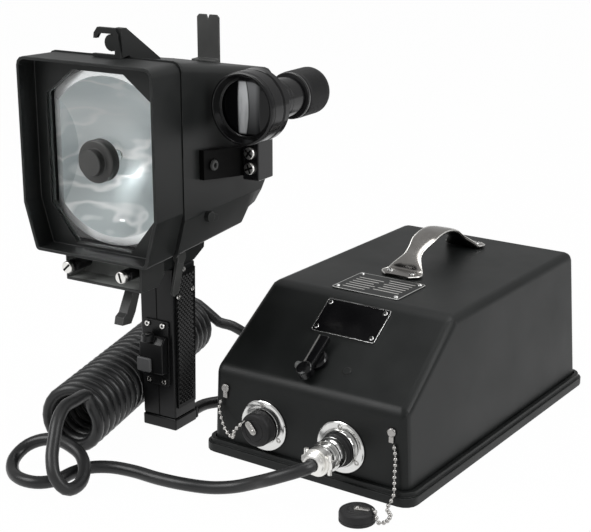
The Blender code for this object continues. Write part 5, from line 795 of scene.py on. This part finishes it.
# Seam up the front of the grip, above and below the switch
seam = bmesh.new()
for low, high in ((14.0, 49.0), (119.5, 174.5)):
    add_box(seam, IN_MM, (-0.6, -18.15, low), (0.6, -17.9, high))
placed_mesh("grip_seam", seam, JOINT_AND_SHADE_BLACK)

# Knurled grip sides: rows of blunt pyramids, each row half a step along from the last
KNURL_STEP = 5.2
KNURL_PITCH = 5.0
KNURL_ROWS = 55
PANEL_X = 20.5 + 0.3
FEET = ((0, -KNURL_PITCH / 2), (KNURL_STEP / 2, 0), (0, KNURL_PITCH / 2), (-KNURL_STEP / 2, 0))
for side, name in ((-1, "left"), (1, "right")):
    panel = bmesh.new()
    outline = [(-14.0, 24.0), (16.0, 24.0), (20.0, 170.0), (-14.0, 170.0)]
    add_loft(panel, [[Vector((side * (PANEL_X + d), y, z)) * MM for y, z in outline] for d in (0.0, 1.35)])
    for row in range(KNURL_ROWS):
        z = 25.8 + KNURL_PITCH / 2 * (row + 1)
        right = 16.0 + 4.0 * (z - 24) / 146 - 1.0
        y = -12.6 + (KNURL_STEP / 2 if row % 2 else 0) + KNURL_STEP / 2
        while y < right - KNURL_STEP / 2:
            add_loft(panel, [[Vector((side * (PANEL_X + d), y + dy * share, z + dz * share)) * MM
                              for dy, dz in FEET] for d, share in ((1.3, 1.0), (2.5, 0.22))])
            y += KNURL_STEP
    placed_mesh("knurled_" + name, panel, KNURL, ROOT, ["grip_panel_" + name], 20)


# Fittings on the case's front wall
def wall_piece(name, profile, x, out, surface, replaces, body=ROOT):
    """Round piece on the front wall. Its heights are outwards, from a distance in front of the wall."""
    matrix = CASE_TURN @ facing(FRONT, on_wall(x, SOCKET_Z, out)) @ IN_MM
    return placed_mesh(name, turned(profile, sides=96), surface, body, replaces, matrix=matrix)


FLANGE = [(0, 0), (26.0, 0), (26.3, 0.3), (26.3, 1.5), (25.6, 2.3), (24.8, 2.6)]
FLANGE_SCREWS_R = 21.5 * MM
wall_piece("flange_left", FLANGE + [(18.4, 2.6), (18.1, 2.2), (17.7, 2.2), (17.4, 2.6), (13.0, 2.6),
                                    (13.0, 8.6), (0, 8.6)],
           SOCKET_LEFT_X, GAP, CHROME, ["socket_flange_left"])
wall_piece("flange_right", FLANGE + [(19.4, 2.6), (19.0, 2.1), (18.6, 2.6), (18.5, 5.2), (17.9, 6.1),
                                     (14.3, 6.1), (14.3, 2.6), (0, 2.6)],
           SOCKET_RIGHT_X, GAP, CHROME, ["socket_flange_right"])
for x, name in ((SOCKET_LEFT_X, "left"), (SOCKET_RIGHT_X, "right")):
    for k in range(3):
        a = math.radians(90 + 120 * k)
        out_x, out_z = FLANGE_SCREWS_R * math.cos(a), FLANGE_SCREWS_R * math.sin(a)
        at = CASE_TURN @ facing(FRONT, on_wall(x + out_x, SOCKET_Z + out_z, GAP + 1.6 * MM))
        ring_screw("flange_screw_%s_%d" % (name, k), at, 2.7 * MM, 1.6 * MM, STEEL)
wall_piece("cap_left", [(0, 6.3), (13.3, 6.3), (13.3, 0), (16.4, 0), (17.0, 0.6), (17.0, 3.0), (16.5, 3.4),
                        (16.5, 4.2), (17.0, 4.6), (17.0, 9.8), (16.6, 11.4), (15.6, 12.5), (14.2, 13.0),
                        (11.2, 13.0), (10.8, 12.6), (10.2, 12.6), (9.8, 13.0), (0, 13.0)],
           SOCKET_LEFT_X, 4.4 * MM, RUBBER, ["socket_cap"], "socket_cap")
wall_piece("seal_ring", [(14.1, 6.3), (16.8, 6.5), (17.2, 7.2), (16.8, 8.0), (15.9, 8.3), (15.9, 9.4),
                         (16.3, 9.8), (16.3, 11.4), (15.7, 11.8), (15.7, 13.6), (14.1, 13.8)],
           SOCKET_RIGHT_X, GAP, RUBBER, ())
wall_piece("socket_body", [(0, 0), (14.0, 0), (14.0, 10.6), (13.6, 11.0), (0, 11.0)],
           SOCKET_RIGHT_X, 3.2 * MM, GLOSS, ["receptacle"])
wall_piece("barrel_ring", [(11.8, 0), (14.6, 0), (15.2, 0.6), (15.2, 8.2), (15.0, 8.5), (15.0, 9.0),
                           (15.4, 9.3), (15.4, 10.8), (14.8, 11.5), (11.8, 11.5)],
           SOCKET_RIGHT_X, 14.5 * MM, CHROME, ["coupling_ring"], "coupling_ring")
plug_shell = wall_piece("plug_shell", [(0, 0), (11.5, 0), (11.5, 12.4), (11.0, 12.9), (11.0, 13.7),
                                       (11.5, 14.2), (11.5, 19.5), (10.9, 20.5), (0, 20.5)],
                        SOCKET_RIGHT_X, 14.5 * MM, CHROME, ["plug_body"])
clamp_collar = wall_piece("clamp_collar", [(6.6, 0), (11.2, 0), (11.2, 3.0), (10.6, 3.6), (10.6, 4.4),
                                           (10.0, 5.2), (7.6, 6.4), (6.6, 6.4)],
                          SOCKET_RIGHT_X, 43.4 * MM, BRIGHT, ())

# Caps, their tags and bead chains
SOCKET_CAP_H = 13.0 * MM
SOCKET_CAP_R = 17.0 * MM
CAP_TOP = 11.5 * MM
TAG_REACH = 13.5 * MM
CHAIN_HALF = 2.3 * MM
PITCH = 5.6 * MM
BALL_R = 2.05 * MM
BALL_STEPS = 8
LOOSE_AT = Vector((CASE_W / 2 - 23.0 * MM, WALL_Y - 50.1 * MM, 0))
loose = turned([(0, 4.75), (14.0, 4.75), (14.0, 0.2), (14.4, 0), (16.6, 0), (17.0, 0.5), (17.0, 2.4),
                (16.6, 2.8), (16.6, 3.4), (17.0, 3.8), (17.0, 8.2), (16.4, 9.9), (15.0, 10.9), (12.6, 11.3),
                (9.0, 11.5), (8.6, 11.2), (8.0, 11.2), (7.6, 11.5), (0, 11.5)], sides=96)
placed_mesh("loose_cap_body", loose, RUBBER, replaces=["loose_cap"],
            matrix=CASE_TURN @ Matrix.Translation(LOOSE_AT) @ IN_MM)


def add_tag(name, at, replaces=()):
    """Small swivel tag with a rounded end and a domed post."""
    matrix = CASE_TURN @ at @ IN_MM
    shape = soft_prism(bmesh.new(), rect_outline(15.0, 7.0, 3.2, 6, 4.0), matrix, 0.7, 2.1, 0.4)
    add_turned(shape, [(0, 0), (2.2, 0), (2.2, 2.6), (1.6, 3.1), (0, 3.2)], matrix, 24)
    placed_mesh(name, shape, STEEL, replaces=replaces)


cap_at = on_wall(SOCKET_LEFT_X, SOCKET_Z, 2.6 * MM + 2 * GAP + 1.2 * MM)
cap_face = cap_at + Vector((0, -SOCKET_CAP_H - GAP, 0))
add_tag("tag_left", tilted((-0.55, 0, 0.6), (-0.6, 0, -0.55), cap_face), ["cap_tag"])
add_tag("tag_right", tilted((0.9, 0.35, 0), (-0.35, 0.9, 0), LOOSE_AT + Vector((0, 0, CAP_TOP - 0.96 * MM))))


def chain_top(x):
    """Where a chain starts, under its eyelet."""
    return Vector((x, WALL_Y - CHAIN_HALF - GAP, (69.5 - 4.6 * 0.6 - 7.5) * MM - GAP * 2))


def ball_chain(name, knots, node):
    """Balls at an even pitch on a thread, between two open ends."""
    line = [CASE_TURN @ p for p in smooth_route(knots, PITCH / BALL_STEPS, True)]
    shape = bmesh.new()
    for k in range((len(line) - 1) // BALL_STEPS):
        add_ball(shape, line[k * BALL_STEPS + BALL_STEPS // 2], BALL_R)
    add_tube(shape, line[::2], 0.62 * MM)
    placed_mesh(name, shape, STEEL, replaces=[node], angle=40)


first = chain_top(18.0 * MM - CASE_W / 2)
last = cap_face + Vector((-0.55, 0, 0.6)).normalized() * TAG_REACH + Vector((0, -1.36 * MM, 0))
edge = Vector((cap_at.x - SOCKET_CAP_R - PITCH * 0.7, cap_at.y - SOCKET_CAP_H - CHAIN_HALF - GAP * 4,
               last.z - PITCH * 2.2))
fall = first.z - edge.z
sag = Vector((edge.x - PITCH, (first.y + edge.y * 3) / 4, edge.z - PITCH))
aside = Vector((-5.5 * MM, -1.5 * MM, -2.0 * MM))
ball_chain("beads_left", [first + aside * 0.6, first + aside - UP * fall * 0.35,
                          first + aside * 0.8 + Vector((PITCH * 0.5, -PITCH * 0.5, -fall * 0.8)),
                          first + Vector((PITCH * 1.4, -PITCH * 1.5, -fall - PITCH * 1.6)),
                          sag - UP * PITCH * 0.9, edge - UP * MM, last], "chain_left")

first = chain_top(CASE_W / 2 - 18.0 * MM)
foot_y = WALL_Y - 7.3 * MM - CHAIN_HALF
ON_FLOOR = [(7.5, 9.0, 2.3), (17.5, 20.0, 2.3), (20.0, 34.0, 2.3), (16.5, 41.0, 4.6), (13.5, 39.0, 11.5)]
last = LOOSE_AT + Vector((0.9, 0.35, 0)).normalized() * TAG_REACH + UP * (CAP_TOP + GAP + 1.4 * MM)
ball_chain("beads_right", [first + Vector((3.5 * MM, 0, 0)), first + Vector((5.5 * MM, 0, -12.0 * MM)),
                           Vector((first.x + 7.0 * MM, (first.y + foot_y) / 2, first.z - 30.0 * MM)),
                           Vector((first.x + 8.5 * MM, foot_y, 11.5 * MM)),
                           *(Vector((first.x + x * MM, foot_y - y * MM, z * MM)) for x, y, z in ON_FLOOR),
                           last], "chain_right")

# Carrying handle: a strap that is wide at its feet and narrow on the rise, with two bright rails
TOP_FRONT_Y = WALL_Y + CASE_SLOPE_RUN
HANDLE_X = -3.5 * MM
NEAR_Y = TOP_FRONT_Y + PLATE_FRONT + PLATE_DEPTH + 8.0 * MM
HANDLE_LEN = CASE_D / 2 - CASE_H * 0.07 - 34.0 * MM - NEAR_Y
HANDLE_RISE = 29.5 * MM
FOOT_W, WAIST_W, MIDDLE_W = 46.0, 19.0, 27.0
FOOT_END, WAIST_AT, RISE_FROM = 0.063, 0.224, 0.112
STATIONS = 88
AROUND = 28


def eased(share):
    """0 to 1, gently at both ends."""
    return 0.5 - 0.5 * math.cos(math.pi * min(1.0, share))


centre, spread = [], []
for k in range(STATIONS + 1):
    edge = min(k / STATIONS, 1 - k / STATIONS)
    climb = max(0.0, min(1.0, (edge - RISE_FROM) / (0.5 - RISE_FROM)))
    rise = math.sin(climb * math.pi / 2) ** 0.8
    thick = (3.0 + 2.0 * min(1.0, edge / 0.14)) * MM
    if edge < FOOT_END:
        width = FOOT_W * (0.62 + 0.38 * math.sin(math.pi / 2 * edge / FOOT_END))
    elif edge < WAIST_AT:
        width = FOOT_W + (WAIST_W - FOOT_W) * eased((edge - FOOT_END) / (WAIST_AT - FOOT_END))
    else:
        width = WAIST_W + (MIDDLE_W - WAIST_W) * eased((edge - WAIST_AT) / 0.15)
    height = CASE_H + GAP + thick / 2 + HANDLE_RISE * rise
    centre.append(Vector((HANDLE_X, NEAR_Y + HANDLE_LEN * k / STATIONS, height)))
    spread.append((width * MM, thick, rise))
rings = []
for k, (width, thick, rise) in enumerate(spread):
    ahead = centre[min(k + 1, STATIONS)] - centre[max(k - 1, 0)]
    normal = Vector((0, -ahead.z, ahead.y)).normalized() if rise > 0 else UP
    ring = []
    for j in range(AROUND):
        c, s = math.cos(2 * math.pi * j / AROUND), math.sin(2 * math.pi * j / AROUND)
        aside = math.copysign(abs(c) ** 0.5, c) * width / 2
        out = (0.95 * s ** 0.8 if s > 0 else -abs(s) ** 0.6) * thick / 2
        ring.append(centre[k] + Vector((aside, 0, 0)) + normal * out)
    rings.append(ring)
rails = bmesh.new()
for j in (1, AROUND // 2 - 1):
    add_tube(rails, [ring[j] for ring in rings], 0.75 * MM)
placed_mesh("handle_rails", rails, BRIGHT, angle=60, matrix=CASE_TURN)
strap = add_loft(bmesh.new(), rings)
placed_mesh("handle_strap", strap, HANDLE, ROOT, ["carry_handle"], 60, CASE_TURN)
for k, y in enumerate((NEAR_Y + 9.0 * MM, NEAR_Y + HANDLE_LEN - 9.0 * MM)):
    for side in (-1, 1):
        at = Matrix.Translation((HANDLE_X + side * 13.0 * MM, y, CASE_H + GAP + 2.8 * MM))
        screw("handle_screw_%d_%d" % (k, side + 1), CASE_TURN @ at, 3.6 * MM, 1.8 * MM, CHROME,
              turn=0.7 * k + side)

# Blank ruled field on the name plate
ROWS = 7
ROW_PITCH = 6.5
PLATE_AT = Vector((-2.5 * MM, TOP_FRONT_Y + PLATE_FRONT + PLATE_DEPTH / 2, CASE_H + GAP + 1.0 * MM))
on_plate = CASE_TURN @ Matrix.Translation(PLATE_AT) @ IN_MM
field = soft_prism(bmesh.new(), rect_outline(75.4, 54.4, 1.5, 4), on_plate, 0.01, 0.10)
placed_mesh("plate_field", field, PAINT)
rules = bmesh.new()
for row in range(ROWS):
    y = 19.5 - row * ROW_PITCH
    for low, high in ((-31.0, -7.0 + (row * 5) % 7), (1.0 + (row * 3) % 5, 31.0)):
        missing = low < 0 if row == 0 else low > 0 and row == ROWS - 1
        if not missing:
            add_box(rules, on_plate, (low, y - 0.8, 0.09), (high, y + 0.8, 0.14))
placed_mesh("plate_rules", rules, BRIGHT)

# Mode switch: the bar's round end with its pin, and its white mark
BAR_FRAME = tilted((0.99831, -0.05809, 0), (0.04745, 0.81544, 0.57689), (0.18706, -0.01531, 0.11363))
BAR_FRAME = BAR_FRAME @ IN_MM
end = turned([(0, 0.3), (8.1, 0.3), (8.1, 8.0), (7.6, 8.7), (6.6, 9.1), (0, 9.2)],
             BAR_FRAME @ Matrix.Translation((0, -19.0, 0)))
placed_mesh("lever_end", end, GLOSS, "switch_bar")
pin = turned([(0, 0), (3.9, 0), (3.9, 4.6), (3.4, 5.2), (0, 5.3)],
             BAR_FRAME @ facing((-1, 0, 0), (-6.5, -15.5, 4.6)), 32)
placed_mesh("lever_pin", pin, FRAME_GREY, "switch_bar")
ridge = add_box(bmesh.new(), BAR_FRAME, (-5.5, -13.0, 5.9), (-4.3, 22.0, 6.4))
placed_mesh("lever_ridge", ridge, BRIGHT, "switch_bar")


# Floor, world and lamps
def unshadowed(tree, mirrored):
    """1 for the camera and for rays through glass, and the mirrored share for reflections."""
    path = tree.nodes.new("ShaderNodeLightPath").outputs
    seen = math_node(tree, "MAXIMUM", path["Is Camera Ray"], product(tree, path["Is Glossy Ray"], mirrored))
    return math_node(tree, "MAXIMUM", seen, path["Is Transmission Ray"])


def whitened(name, colour, lift):
    """Pale floor that the camera, mirrors and glass see almost white, with the shadow kept."""
    made, tree, shader, _ = graph(name)
    wired(tree, shader, Base_Color=(*colour, 1.0), Roughness=0.9, Specular_IOR_Level=0.1)
    glow = wired(tree, tree.nodes.new("ShaderNodeEmission"), Color=(*WHITE, 1.0))
    mix = tree.nodes.new("ShaderNodeMixShader")
    tree.links.new(product(tree, unshadowed(tree, 1.0), lift), mix.inputs[0])
    tree.links.new(shader.outputs["BSDF"], mix.inputs[1])
    tree.links.new(glow.outputs["Emission"], mix.inputs[2])
    tree.links.new(mix.outputs["Shader"], tree.nodes["Material Output"].inputs["Surface"])
    return made


FLOOR_HALF = 6.0
FLOOR_LIFT = 0.985
floor_shape = bmesh.new()
for x, y in ((-1, -1), (1, -1), (1, 1), (-1, 1)):
    floor_shape.verts.new((x * FLOOR_HALF, y * FLOOR_HALF, 0))
floor_shape.faces.new(floor_shape.verts)
floor_mesh = bpy.data.meshes.new("floor")
floor_shape.to_mesh(floor_mesh)
floor_shape.free()
floor_mesh.materials.append(whitened("pale_floor", (0.84, 0.84, 0.84), FLOOR_LIFT))
floor = shown("floor", floor_mesh)

world = bpy.data.worlds.new("studio")
bpy.context.scene.world = world
world.use_nodes = True
sky = world.node_tree
SKY_LIGHT, SKY_MIRRORED = 0.22, 0.35
wired(sky, sky.nodes["Background"], Color=(*WHITE, 1.0),
      Strength=ranged(sky, unshadowed(sky, SKY_MIRRORED), 0.0, 1.0, SKY_LIGHT, 1.0))


def lamp(name, at, aim, size, power):
    """Rectangular lamp of some watts that looks at a place."""
    data = bpy.data.lights.new(name, "AREA")
    data.shape = "RECTANGLE"
    data.size, data.size_y = size
    data.energy = power
    made = shown(name, data)
    made.location = at
    made.rotation_euler = (Vector(aim) - Vector(at)).to_track_quat("-Z", "Y").to_euler()


lamp("key", (-0.9, -1.3, 1.5), (0.1, 0, 0.2), (1.2, 1.2), 26)
lamp("top", (0.2, 0.5, 1.9), (0.1, 0.0, 0.1), (1.2, 0.8), 13)
lamp("side", (1.65, 0.02, 1.15), (0.15, 0.0, 0.2), (0.5, 1.2), 14)

bpy.context.scene.view_settings.view_transform = "Standard"
